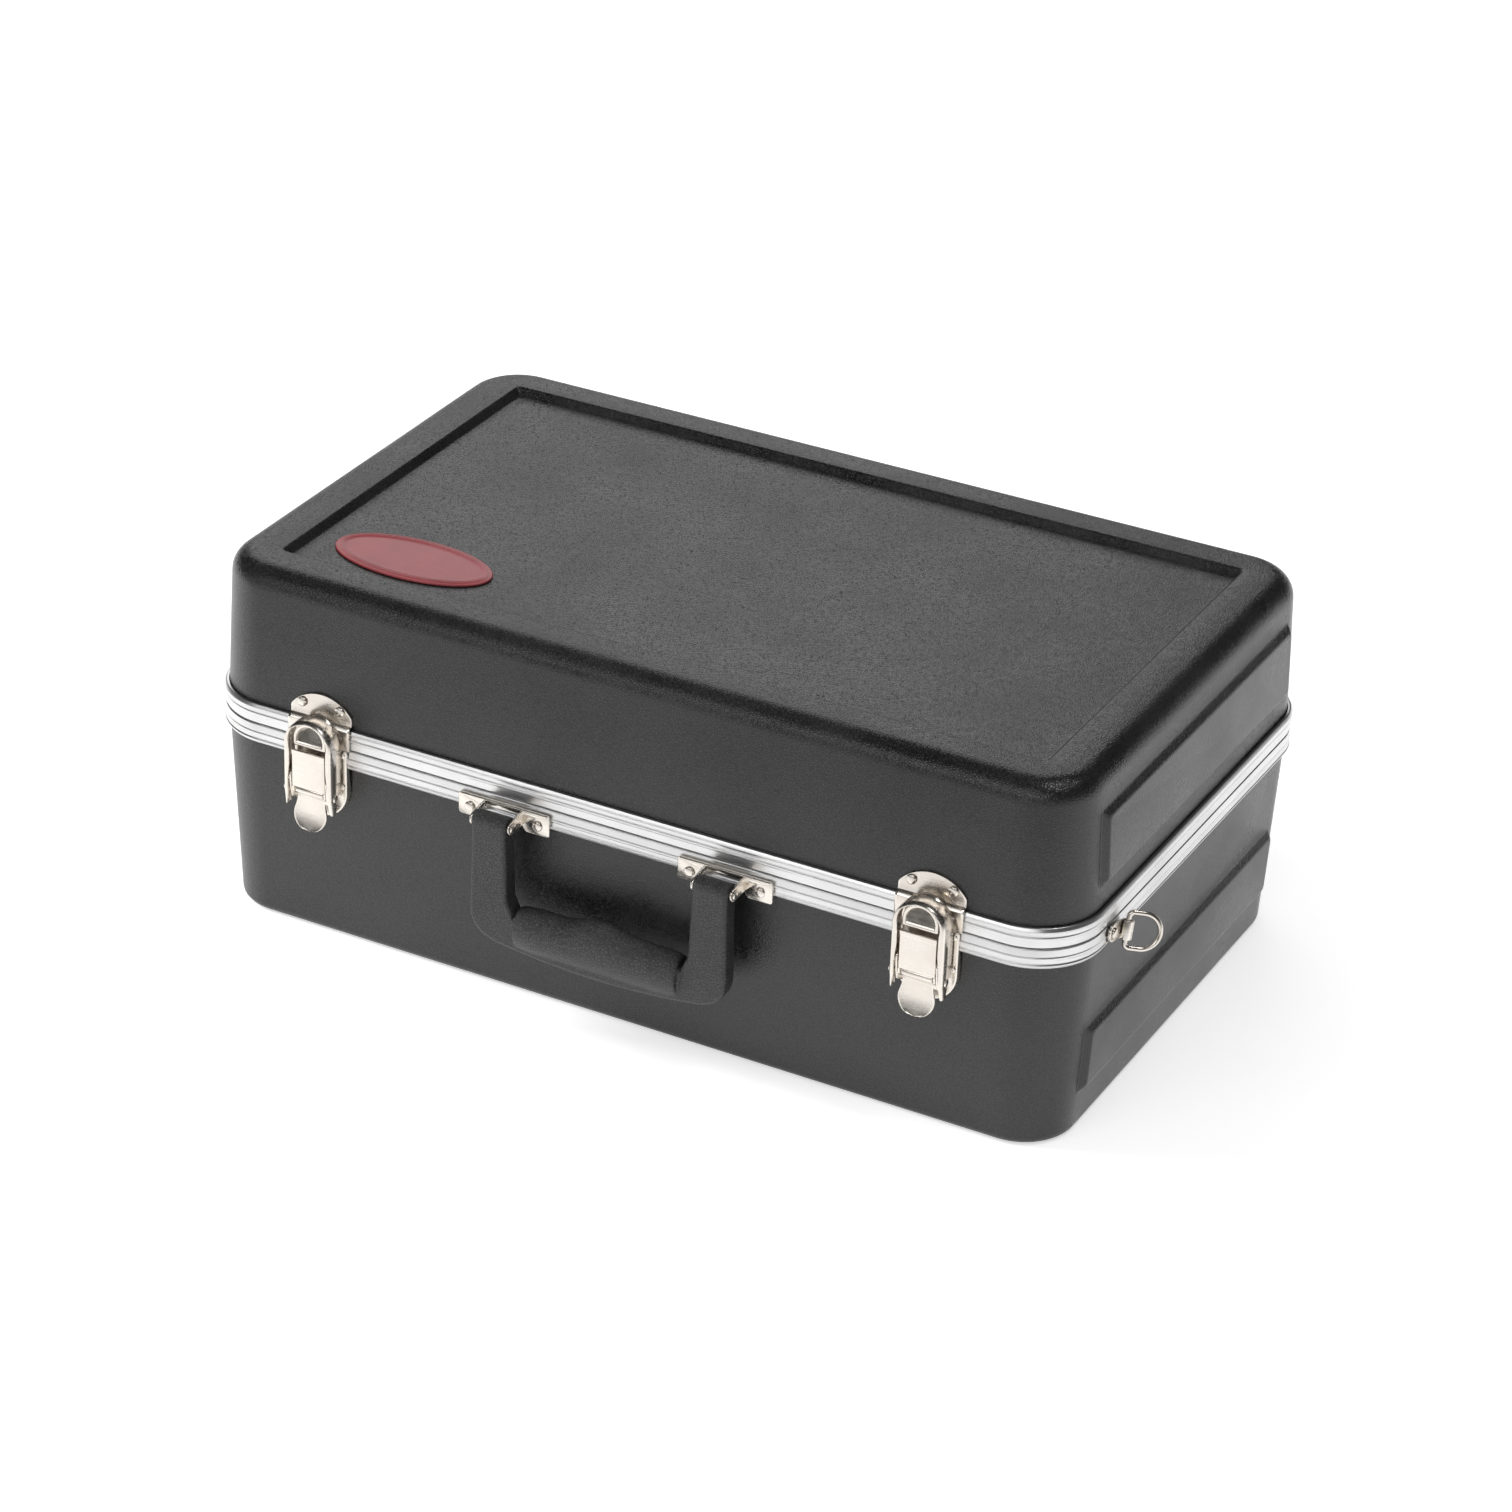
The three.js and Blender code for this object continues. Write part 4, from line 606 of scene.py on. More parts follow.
# %% All the rivets
# head's radius and rise, and the stem's radius
RIVETS = {"keeper": (2.3, 1.2, 1.3), "plate": (1.4, 0.7, 0.8), "bracket": (2.3, 1.2, 1.3),
          "ring": (2.3, 1.2, 1.3), "hinge": (2.0, 1.2, 1.3)}


def hardware(name, parts, body, node, edge=0.0, angle=45):
    """A plated piece that stands for one node of the model"""
    return make_piece(name, parts, nickel, body, [node], edge=edge, angle=angle)


def rivet_profile(head, rise, stem, seat, tail):
    profile = [(stem, tail), (stem, seat), (head * 0.98, seat), (head, seat + rise * 0.3),
               (head * 0.95, seat + rise * 0.55)]
    for c, s in map(unit, (28, 44, 60, 75)):
        profile.append((head * 0.97 * c, seat + rise * (0.4 + 0.6 * s)))
    return profile + [(head * 0.04, seat + rise)]


def make_rivet(node):
    low, high = [Vector(v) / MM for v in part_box(node)]
    kind = node.split("_")[0]
    head, rise, stem = RIVETS[kind]
    middle = (low + high) / 2
    outward = 0 if kind == "ring" else 1  # a rivet points along x on the ends, along y elsewhere
    way = 1 if middle[outward] > 0 else -1
    tail, top = sorted((abs(low[outward]), abs(high[outward])))

    def spot(c, s, along):
        place = [middle.x + c, middle.y + c, middle.z + s - SPLIT]
        place[outward] = way * along
        return place
    shape = turned(rivet_profile(head, rise, stem, top - rise, tail), spot)
    body = "lid" if kind == "keeper" or "_lid_" in node else "case"
    return hardware(node.replace("rivet", "domed_rivet"), [shape], body, node, angle=50)


rivets = [make_rivet(node) for node in sorted(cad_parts) if "rivet" in node]
print("rivets:", len(rivets))

# %% [markdown]
# ## Keeper of a latch
# The keeper is pressed from one sheet: an arched plate that steps over the edge of the band,
# and out of it a D-shaped boss drawn forward, with a lip that stops the hoop from slipping off.
# The plate is a grid of rows that follows the step. The boss is a stack of D-shaped rings: it
# flares where it leaves the sheet, narrows to a neck and rolls out into the lip. The face
# inside the lip leans back as it goes up, so that it mirrors the dark part of a room.

# %% Keepers
KEEPER_HALF, KEEPER_HIGH, KEEPER_ARCH = 15.3, 22.4, 19.0
KEEPER_CENTRE = KEEPER_HIGH - KEEPER_ARCH
BOSS_FLAT, BOSS_TOP, BOSS_LIP = 1.2, 4.4, 8.1
BOSS_STEPS = [(8.9, -0.6), (8.6, 0.3), (8.15, 1.1), (7.75, 1.9), (7.45, 2.8), (7.25, 3.9),
              (7.2, 5.0), (7.2, 7.2), (7.35, 7.5), (7.75, 7.72), (8.02, 7.95), (8.1, 8.2),
              (8.02, 8.42), (7.8, 8.56), (7.45, 8.6), (7.0, 8.55), (6.7, 8.42)]  # radius, out
FACE_STEPS, FACE_OUT, FACE_FOOT, FACE_LEAN = (6.4, 6.25, 6.1, 5.9), 8.2, 1.4, 0.42


def keeper_rows():
    """Height and outward place of the front of the sheet, over the step behind the band's edge"""
    back_step = lid_face(12.0) + SHEET_FRONT
    stops = [(GAP, SHEET_FRONT), (9.2, SHEET_FRONT), (9.4, 1.17), (9.55, 1.09), (10.65, 0.26),
             (10.85, 0.08), (11.1, back_step + 0.12), (11.4, back_step)]
    for turn in (34, 38, 43, 48, 54, 60, 66, 72, 78, 83, 87, 89.2):
        z = KEEPER_CENTRE + KEEPER_ARCH * unit(turn)[1]
        stops.append((z, lid_face(z) + SHEET_FRONT))
    return stops


def keeper_half(z):
    reach = max(0.0, KEEPER_ARCH ** 2 - max(0.0, z - KEEPER_CENTRE) ** 2)
    return min(KEEPER_HALF, math.sqrt(reach))


def sheet_grid(frame_at, rows, half_at, thickness, columns=24, dish=lambda share, z: 0.0):
    """A sheet of rows (height, front), as wide as half_at says, with a back behind it"""
    rings = []
    for z, front in rows:
        half = half_at(z)
        xs = [half * t for t in steps_of(-1, 1, columns)]
        ahead = [frame_at(x, front + dish(x / half, z), z) for x in xs]
        behind = [frame_at(x, front - thickness + dish(x / half, z), z) for x in xs[::-1]]
        rings.append(ahead + behind)
    return loft(rings)


def d_outline(radius, corner=0.8):
    flat = BOSS_FLAT + BOSS_LIP - radius
    crown = [(x, z, 0) for x, z in arc(0, BOSS_TOP, radius, 0, 180, 28)]
    return rounded([(radius, flat, corner)] + crown + [(-radius, flat, corner)], corner, 4)


def keeper_parts(at):
    plate = sheet_grid(at, keeper_rows(), keeper_half, 1.0)
    rings = [[at(x, u, z) for x, z in d_outline(radius)] for radius, u in BOSS_STEPS]
    for radius in FACE_STEPS:
        rings.append([at(x, FACE_OUT - FACE_LEAN * (z - BOSS_FLAT - FACE_FOOT), z)
                      for x, z in d_outline(radius)])
    return [plate, loft(rings)]


LATCHES = {"left": front_wall(-146.0), "right": front_wall(146.0)}
for side, at in LATCHES.items():
    hardware("keeper_" + side, keeper_parts(at), "lid", "latch_keeper_" + side, edge=0.22)
print("keepers:", KEEPER_HALF * 2, "mm wide")

# %% [markdown]
# ## Base plate of a latch
# The plate under the mechanism is flat over the band and has a round foot that hangs below
# it. Its edge is folded back to the shell, so no gap shows from the side. Two ears stand out
# of it and carry the lever. The plate is a stack of its own outline: from the shell, up the
# fold, over a rounded edge and onto the flat front.

# %% Base plates
PLATE_HALF, PLATE_FOOT, PLATE_STEP = 14.2, 20.7, -9.7  # the step is at the band's edge
PIVOT, JOINT = (7.6, -14.2), (7.4, -20.6)  # out and up: lever's pivot, hoop's joint
EAR_FROM, EAR_TO, DIMPLE = 9.8, 10.6, (12.2, -2.6)


def plate_outline(inset):
    half = PLATE_HALF - inset
    corners = [(half, -GAP - inset, 1.0), (-half, -GAP - inset, 1.0)]
    foot = [(x, z, 0) for x, z in arc(0, -PLATE_FOOT, half, 180, 360, 32)]
    return rounded(corners + foot, 1.0, 4)


def plate_back(z):
    return SHEET_BACK if z > PLATE_STEP else base_face(-z) + SHEET_BACK


def latch_plate_parts(at):
    rings = [[at(x, SHEET_BACK, z) for x, z in plate_outline(1.0)]]
    for inset in (1.0, 0.0):
        rings.append([at(x, plate_back(z), z) for x, z in plate_outline(inset)])
    for inset, u in ((0.0, 0.62), (0.12, 0.95), (0.4, 1.15), (0.8, SHEET_FRONT)):
        rings.append([at(x, u, z) for x, z in plate_outline(inset)])
    ear = rounded([(0.7, -18.0, 0), (4.6, -18.0, 1.5), (PIVOT[0], -16.8, 0)]
                  + [(u, z, 0) for u, z in arc(*PIVOT, 2.6, -80, 80, 14)]
                  + [(PIVOT[0], -11.6, 0), (4.6, -10.4, 1.5), (0.7, -10.4, 0)], 1.0, 4)
    dimple = rivet_profile(*RIVETS["plate"], 1.15, 0.6)
    parts = [loft(rings)]
    for way in (-1, 1):
        pin = [(0.7, way * 8.7), (1.2, way * 8.9), (1.2, way * 10.3)]
        parts.append(folded(at, ear, way * EAR_FROM, way * EAR_TO))
        parts.append(turned_along(at, *PIVOT, pin))
        parts.append(turned_out(at, way * DIMPLE[0], DIMPLE[1], dimple, 16))
    return parts


for side, at in LATCHES.items():
    hardware("latch_base_" + side, latch_plate_parts(at), "case", "latch_plate_" + side, edge=0.12)
print("base plates: %.1f mm wide, %.1f mm high" % (PLATE_HALF * 2, PLATE_FOOT + PLATE_HALF))

# %% [markdown]
# ## Hoop
# The hoop is a strip bent over the boss of the keeper. It is widest at the top, where it pulls,
# and its legs are cut back lower down so that they clear the plate as the latch throws. The
# strip is drawn as a path, and at each point of the path a rounded cross-section is set,
# from where its back edge is to where its front edge is.

# %% Hoops
HOOP_OUT, HOOP_SHEET = 12.2, 1.3
HOOP_CENTRE = BOSS_TOP + BOSS_LIP + 0.3 - (HOOP_OUT - HOOP_SHEET)
LEG_HEIGHTS = (-28.9, -28.65, -28.0, -27.0, -25.0, -23.5, -22.4, -21.5, -20.0, -18.5,
               -17.0, -15.0, -8.0, -2.0)
TIPS = [(0.6, 0.6), (0.9, 0.84), (1, 0.97)]  # how much the end of a leg thins and narrows

# height, and there the outward place of the back edge and front edge, or the depth of the lip
HOOP_BACK = [(-30.0, 6.4), (-23.5, 5.4), (-17.0, 2.6)]
HOOP_FRONT = [(-30.0, 8.9), (-23.5, 9.6), (-21.5, 10.0)]
HOOP_LIP = [(-28.0, HOOP_SHEET), (-22.0, 2.2), (-13.0, 2.2), (-11.0, 3.0), (1.0, 3.0),
            (7.0, 1.9), (10.0, HOOP_SHEET + 0.01)]


def between(value, table):
    """Reads a table of (place, number) pairs, straight from one to the next"""
    for (a, low), (b, high) in zip(table, table[1:]):
        if a <= value <= b:
            return low + (high - low) * (value - a) / (b - a)
    return table[0][1] if value < table[0][0] else table[-1][1]


def hoop_section(z):
    """Across the strip: straight back part, and an outer front corner that is rolled over"""
    back, front = between(z, HOOP_BACK), between(z, HOOP_FRONT) + 0.5
    roll, lip = min(2.6, (front - back) * 0.55), between(z, HOOP_LIP)
    outer = [(-1.1 + 1.1 * c, front - roll + roll * s) for c, s in map(unit, steps_of(0, 90, 9))]
    return [(-0.25, back), (0.0, back + 0.3)] + outer + [
        (-lip + 0.12, front - 0.02), (-lip, front - 0.3), (-lip, front - 0.8),
        (-HOOP_SHEET, front - 1.1), (-HOOP_SHEET, back + 0.25), (-HOOP_SHEET + 0.25, back)]


def hoop_parts(at):
    leg = [(HOOP_OUT, z, 1, 0) for z in LEG_HEIGHTS]
    path = leg + [(HOOP_OUT * c, HOOP_CENTRE + HOOP_OUT * s, c, s)
                  for c, s in map(unit, steps_of(0, 180, 32))]
    path += [(-x, z, -nx, nz) for x, z, nx, nz in leg[::-1]]
    rings = []
    for i, (x, z, nx, nz) in enumerate(path):
        section = hoop_section(z)
        tip = min(i, len(path) - 1 - i)
        if tip < len(TIPS):
            thin, narrow = TIPS[tip]
            middle = (between(z, HOOP_BACK) + between(z, HOOP_FRONT)) / 2
            section = [(-0.6 + (a + 0.6) * thin, middle + (u - middle) * narrow)
                       for a, u in section]
        rings.append([at(x + nx * across, u, z + nz * across) for across, u in section])
    return [loft(rings)]


JOINT_PIN = both_ends([(1.0, -13.05), (1.6, -12.9), (1.8, -12.6), (1.8, -12.4), (0.9, -12.38)])
for side, at in LATCHES.items():
    hardware("hoop_" + side, hoop_parts(at), "link_" + side, "latch_hoop_" + side)
    hardware("joint_pin_" + side, [turned_along(at, *JOINT, JOINT_PIN)], "link_" + side,
             "latch_joint_pin_" + side)
print("hoops: top at %.1f mm over the split" % (HOOP_CENTRE + HOOP_OUT))

# %% [markdown]
# ## Cover plate and lever
# A cover plate closes the front of the mechanism. It is a channel: a flat face with both sides
# folded back round the joint. The finger lever is rolled round the joint pin, runs down as a
# tongue that curls away from the case, and flares so that a finger finds it. Two cheeks run up
# inside the hoop to the pivot.

# %% Covers
COVER_HALF, COVER_FRONT, COVER_SHEET = 8.5, 10.0, 0.9
COVER_LOW, COVER_HIGH = -18.5, -0.6
COVER_BACK = [(COVER_LOW, 5.5), (-17.4, 5.2), (-14.2, 4.6), (-6.0, 4.6), (-4.6, 5.0),
              (-3.6, 6.2), (-2.8, 8.2), (COVER_HIGH, 8.3)]  # height, back edge of the sides
COVER_HEIGHTS = ([COVER_LOW, COVER_LOW + 0.25] + steps_of(COVER_LOW + 0.8, -6.2, 7)
                 + steps_of(-5.8, -2.8, 9)
                 + [-1.6, COVER_HIGH - 0.4, COVER_HIGH - 0.12, COVER_HIGH])


def channel_ring(at, z, half, front, sheet, back, bend):
    outer = rounded([(-half, back, 0), (-half, front), (half, front), (half, back, 0)], bend, 5)
    inner_half, inner_front = half - sheet, front - sheet
    inner = rounded([(inner_half, back, 0), (inner_half, inner_front), (-inner_half, inner_front),
                     (-inner_half, back, 0)], max(0.2, bend - sheet), 5)
    return [at(x, u, z) for x, u in outer + inner]


def cover_parts(at):
    rings = []
    for z in COVER_HEIGHTS:
        tuck = 0.28 if z in (COVER_LOW, COVER_HIGH) else 0.0
        rings.append(channel_ring(at, z, COVER_HALF, COVER_FRONT - tuck, COVER_SHEET - tuck,
                                  between(z, COVER_BACK), 1.3))
    eye = rounded([(5.4, -18.0, 0), (9.3, -18.0, 0), (9.4, -19.2, 0)]
                  + [(u, z, 0) for u, z in arc(*JOINT, 1.9, 0, -180, 14)]
                  + [(5.4, -19.2, 0)], 0.4, 2)
    eyes = [folded(at, eye, way * (COVER_HALF - COVER_SHEET), way * COVER_HALF) for way in (-1, 1)]
    return [loft(rings)] + eyes


for side, at in LATCHES.items():
    hardware("cover_" + side, cover_parts(at), "link_" + side, "latch_cover_" + side, edge=0.1)
print("covers: %.1f mm wide" % (COVER_HALF * 2))

# %% Levers
TONGUE = [(-38.9, 0.9), (-38.7, 2.4), (-38.1, 4.3), (-37.0, 5.9), (-35.6, 7.1), (-33.8, 7.95),
          (-32.0, 8.3), (-30.2, 8.1), (-28.0, 7.4), (-26.0, 7.0), (-24.0, 6.9),
          (-20.0, 6.9)]  # height, half width
TONGUE_HEIGHTS = (-38.9, -38.8, -38.5, -38.0, -37.3, -36.4, -35.3, -34.0, -32.6, -31.2, -29.8,
                  -28.2, -26.6, -25.0, -23.4, -22.0, -20.9)
TONGUE_DISH = [(-39.0, 0.4), (-32.5, 1.0), (-26.0, 0.0)]
TONGUE_OUT, CURL, CURL_FROM, CURL_TO = 7.2, 3.4, -20.6, -40.2
BARREL = both_ends([(1.1, -7.0), (1.7, -6.9), (1.9, -6.6)])


def tongue_half(z):
    return between(z, TONGUE)


def tongue_front(z):
    """The tongue curls away from the case, more and more towards its tip"""
    share = (z - CURL_FROM) / (CURL_TO - CURL_FROM)
    return TONGUE_OUT + CURL * max(0.0, share) ** 2


def lever_parts(at):
    def dish(share, z):
        return -0.55 * between(z, TONGUE_DISH) * (1 - share * share)
    rows = [(z, tongue_front(z)) for z in TONGUE_HEIGHTS]
    tongue = sheet_grid(at, rows, tongue_half, 1.0, 16, dish)
    cheek = rounded([(5.5, -25.2, 0.8), (5.5, -20.6, 1.5)]
                    + [(u, z, 0) for u, z in arc(*PIVOT, 2.3, 170, 10, 16)]
                    + [(9.3, -20.6, 1.0), (8.1, -25.2, 0.8)], 0.5, 3)
    cheeks = [folded(at, cheek, way * 8.8, way * 9.5) for way in (-1, 1)]
    bridge = rounded([(-9.5, -25.2), (9.5, -25.2), (9.5, -23.2), (-9.5, -23.2)], 0.3, 2)
    barrel = turned_along(at, *JOINT, BARREL, 24)
    return [tongue, barrel, pressed(at, bridge, 6.3, 7.3)] + cheeks


for side, at in LATCHES.items():
    hardware("lever_" + side, lever_parts(at), "lever_" + side, "latch_lever_" + side, edge=0.16)
print("levers: tongue %.1f mm wide at its flare" % (2 * tongue_half(-32.0)))

# %% [markdown]
# ## Handle brackets
# Each end of the handle turns between two ears, folded out of a riveted plate. The plate is
# open between its end tabs, where the ears came out of the sheet, and has a bead folded along its
# top edge to stiffen it. A headed pin passes through both ears and the post of the handle.

# %% Brackets and pins
HANDLE_PIN = (10.5, -7.0)  # outward and up
BRACKET_HALF, BRACKET_TOP, BRACKET_LOW = 22.3, -2.4, -12.7
EAR_IN, EAR_OUT = 8.6, 9.6
BEAD = both_ends([(0.2, -21.2), (0.5, -21.0), (0.6, -20.6)])
PIN = both_ends([(1.1, -10.5), (1.8, -10.35), (2.1, -10.0), (2.1, -9.8), (1.3, -9.78)])


def bracket_parts(at):
    tab_end = EAR_OUT + 1.2
    outline = [(-BRACKET_HALF, BRACKET_LOW, 1.6), (-BRACKET_HALF, BRACKET_TOP, 1.6),
               (BRACKET_HALF, BRACKET_TOP, 1.6), (BRACKET_HALF, BRACKET_LOW, 1.6),
               (tab_end, BRACKET_LOW, 0.8), (EAR_IN, -9.8, 0.8), (EAR_IN, -5.6, 0.6),
               (-EAR_IN, -5.6, 0.6), (-EAR_IN, -9.8, 0.8), (-tab_end, BRACKET_LOW, 0.8)]
    plate = pressed(at, rounded(outline, 1.0, 5), SHEET_BACK, SHEET_FRONT)
    bead = turned_along(at, SHEET_FRONT, BRACKET_TOP - 0.6, BEAD, 12)
    ear = rounded([(0.7, -3.0, 0), (5.0, -3.2, 2.0)]
                  + [(u, z, 0) for u, z in arc(*HANDLE_PIN, 3.0, 78, -90, 16)]
                  + [(6.5, -9.9, 2.0), (0.7, -9.5, 0)], 1.0, 5)
    ears = [folded(at, ear, way * EAR_IN, way * EAR_OUT) for way in (-1, 1)]
    return [plate, bead] + ears


for side, at in (("left", front_wall(-53.1)), ("right", front_wall(53.1))):
    hardware("bracket_" + side, bracket_parts(at), "case", "handle_bracket_" + side, edge=0.2)
    hardware("handle_pin_turned_" + side, [turned_along(at, *HANDLE_PIN, PIN)], "case",
             "handle_pin_" + side)
print("brackets:", BRACKET_HALF * 2, "mm long")

# %% [markdown]
# ## Handle
# The handle is one moulding: a flat bow with two posts, and a fat grip, humped for the
# fingers, that runs out of it. A bow and a grip are made as two overlapping solids. A voxel remesh
# melts them into one skin and a few rounds of smoothing give the soft fillets of a moulding.

# %% Bow
BOW_THICK, BOW_BEVEL, BOW_HALF, BOW_LOW, BOW_TOP = 9.0, 1.6, 61.9, -66.3, -2.5
BOW_CORNER, BOW_SAG, CORNER_RUN = (48.0, -62.7), 3.6, 13.9  # sag of the bottom, width of a corner
BOW_LAYERS = (-4.5, -4.42, -4.1, -3.6, -2.9, -1.5, 0.0, 1.5, 2.9, 3.6, 4.1, 4.42, 4.5)
POST_MIDDLE, POST_HALF = 53.1, 8.2


def bend(start, pull, end, steps):
    """A smooth bend from start to end, drawn towards the point called pull"""
    return [tuple(a * (1 - t) ** 2 + p * 2 * t * (1 - t) + b * t * t
                  for a, p, b in zip(start, pull, end)) for t in steps_of(0, 1, steps)]


def mirrored(points):
    return [(-x, z) for x, z in points[::-1]]


def bow_outline(b):
    """The bow seen from the front, drawn in by b all round"""
    corner_x, corner_z = BOW_CORNER
    pull_z = corner_z + 2 * BOW_SAG * CORNER_RUN / corner_x  # no kink where side meets bottom
    post = POST_MIDDLE + POST_HALF - b
    right = [(post, BOW_TOP - b), (POST_MIDDLE - POST_HALF + b, BOW_TOP - b), (43.5 + b, -41.0),
             (39.8, -49.0 - b)]
    side = bend((-BOW_HALF + b, -48.0), (-BOW_HALF + b, pull_z + b),
                (-corner_x, corner_z + b), 10)
    bottom = bend((-corner_x, corner_z + b), (0, BOW_LOW - BOW_SAG + b),
                  (corner_x, corner_z + b), 24)[1:-1]
    return (right + mirrored(right) + [(-post, -20.0)] + side + bottom + mirrored(side)
            + [(post, -20.0)])


def bow_rings(at):
    rings = []
    half = BOW_THICK / 2
    for du in BOW_LAYERS:
        over = max(0.0, abs(du) - (half - BOW_BEVEL)) / BOW_BEVEL
        b = BOW_BEVEL * (1 - math.sqrt(max(0.0, 1 - over * over)))
        top = HANDLE_PIN[1] + math.sqrt(max(0.0, half * half - du * du))
        rings.append([at(x, HANDLE_PIN[0] + du, min(z, top)) for x, z in bow_outline(b)])
    return rings


print("bow: %d points in its outline, %d layers" % (len(bow_outline(0.0)), len(BOW_LAYERS)))

# %% Grip
GRIP_HALF, GRIP_HIGH, GRIP_DEEP, GRIP_HUMP, GRIP_MIDDLE = 39.3, 10.4, 8.3, 3.6, -53.4


def grip_rings(at, sides=32, stations=44):
    rings = []
    for share in steps_of(-1, 1, stations):
        x = share * GRIP_HALF
        shrink = math.sqrt(1 - 0.22 * share ** 10)
        hump = GRIP_HUMP * math.cos(min(1.0, abs(x) / 20) * math.pi / 2) ** 2
        ring = []
        for out, rise in circle(sides):
            up = rise * (GRIP_HIGH * shrink + (hump if rise > 0 else 0.0))
            ring.append(at(x, HANDLE_PIN[0] + out * GRIP_DEEP * shrink, up + GRIP_MIDDLE))
        rings.append(ring)
    return rings


print("grip: %.1f mm long" % (GRIP_HALF * 2))

# %% Melt both into one skin
def melt(obj, voxel, rounds):
    """Voxel remesh into one skin, then smooth it"""
    remesh = obj.modifiers.new("melt", "REMESH")
    remesh.mode = "VOXEL"
    remesh.voxel_size = voxel * MM
    smooth = obj.modifiers.new("smooth", "CORRECTIVE_SMOOTH")
    smooth.use_only_smooth = True
    smooth.factor = 0.6
    smooth.iterations = rounds
    apply_modifiers(obj)
    return obj


handle_at = front_wall(0.0)
solids = [loft(bow_rings(handle_at)), loft(grip_rings(handle_at))]
handle = melt(raw_object("carry_handle_moulded", solids), voxel=0.5, rounds=3)
smooth_shading(handle, 60)
settle(handle, handle_plastic, "carry_handle", ["handle"])
print("handle:", len(handle.data.polygons), "faces in one skin")

# %% [markdown]
# A moulding keeps a fine line where the two halves of its mould met. On this handle it runs
# round the outer edge, near the front, and it catches the light there. It is a thread of
# plastic a third of a millimetre wide, carried along the outline of the bow.

# %% Parting line of the handle
THREAD = 0.16
LINE_INSET, LINE_OUT = 0.42, 14.0  # from the outline of the bow, and outward


def thread(points, radius=THREAD, sides=6):
    rings = []
    forward = Vector((0, 1, 0))
    for i, point in enumerate(points):
        here = Vector(point)
        ahead = Vector(points[min(i + 1, len(points) - 1)]) - Vector(points[max(i - 1, 0)])
        across = ahead.cross(forward).normalized()
        rings.append([tuple(here + across * radius * c + forward * radius * s)
                      for c, s in circle(sides)])
    return loft(rings)


edge_path = [handle_at(x, LINE_OUT, z) for x, z in bow_outline(LINE_INSET)
             if z < -19 and (abs(x) > 45.0 or z < -60)]
make_piece("handle_parting_line", [thread(edge_path)], handle_plastic, "carry_handle", [],
           angle=60)
print("parting line: %d points" % len(edge_path))

# %% [markdown]
# ## Strap rings
# A D of thick wire hangs at each end in a clip: one strip, rolled round the straight side of
# the ring, with a rivet through its tail. The ring stands out from the wall, swung off square
# by 32 degrees, and the clip has turned a little about its rivet, as a clip on one rivet does.

# %% Strap rings and clips
RING_Y, RING_Z, RING_OUT = -79.0, -6.8, 3.0
RING_LEAN, RING_SWUNG = 15, 32  # degrees: clip about its rivet, ring off square to the wall
RING_HALF, RING_DEPTH, RING_BEND, WIRE = 8.8, 15.0, 2.0, 1.1
TAIL = (-13.55, -13.4, -13.0, -12.3, -11.2, -9.5, -6.0, -3.0, -1.0)  # places along the tail
TAIL_HALF, TAIL_ROUND, ROLL = 4.1, -9.5, 2.0


def end_wall(way):
    c, s = unit(RING_LEAN)
    return lambda x, u, z: (way * (HALF_LENGTH + u), RING_Y + x * c + z * s, RING_Z - x * s + z * c)


def ring_parts(at):
    half, depth = RING_HALF - WIRE, RING_DEPTH - WIRE
    path = arc(RING_BEND, half - RING_BEND, RING_BEND, 180, 90, 8)
    path += arc(depth - half, 0.0, half, 90, -90, 28)
    path += arc(RING_BEND, RING_BEND - half, RING_BEND, -90, -180, 8)
    cos_swung, sin_swung = unit(RING_SWUNG)
    rings = []
    for i, (d, z) in enumerate(path):
        along = (Vector(path[(i + 1) % len(path)]) - Vector(path[i - 1])).normalized()
        ring = []
        for c, s in circle(14):
            c, s = WIRE * c, WIRE * s
            down = d + along.y * c  # the ring's own depth, before it is swung out
            ring.append(at(down * sin_swung + s * cos_swung,
                           RING_OUT + down * cos_swung + s * -sin_swung, z - along.x * c))
        rings.append(ring)
    return [loft(rings, closed=True)]


def clip_parts(at):
    """One strip: a flat tail with a round end, and a roll; each step has a place and a normal"""
    path = [(x, 0.7, 0, 1, 0.5) for x in TAIL]
    for turn in steps_of(-90, 205, 26):
        c, s = unit(turn)
        tuck = 0.3 if turn == -90 else 0.0
        path.append((ROLL * c, RING_OUT + ROLL * s - tuck, -c, -s, 0.55))
    rings = []
    for x, u, nx, nu, thick in path:
        half = TAIL_HALF
        if x <= TAIL_ROUND:
            half = math.sqrt(max(0.1, TAIL_HALF ** 2 - (x - TAIL_ROUND) ** 2))
        section = rounded([(-thick, -half), (thick, -half), (thick, half), (-thick, half)], 0.25, 3)
        rings.append([at(x + nx * a, u + nu * a, z) for a, z in section])
    return [loft(rings)]


for side, way in (("left", -1), ("right", 1)):
    at = end_wall(way)
    hardware("d_ring_" + side, ring_parts(at), "ring_" + side, "strap_ring_" + side, angle=60)
    hardware("rolled_clip_" + side, clip_parts(at), "case", "ring_clip_" + side)
print("strap rings: wire", WIRE * 2, "mm thick")

# %% [markdown]
# ## Rear hinges
# Two hinges join the bands at the back. Each is a pair of riveted leaves whose rolled knuckles
# share one pin: the middle knuckle belongs to the lid, the outer two to the base.

# %% Hinges
HINGE_AXIS, HINGE_X = (3.1, 0.0), 125.0
LEAF_HALF, LEAF_LOW, LEAF_HIGH = 22, 3.0, 8.9
KNUCKLE, SLACK = 44.0 / 6, 0.15  # half of the middle knuckle, half of the gap beside it
HINGE_PIN = both_ends([(1.1, -23.0), (1.8, -22.8), (2.0, -22.5), (2.0, -22.2), (1.1, -22.18)])


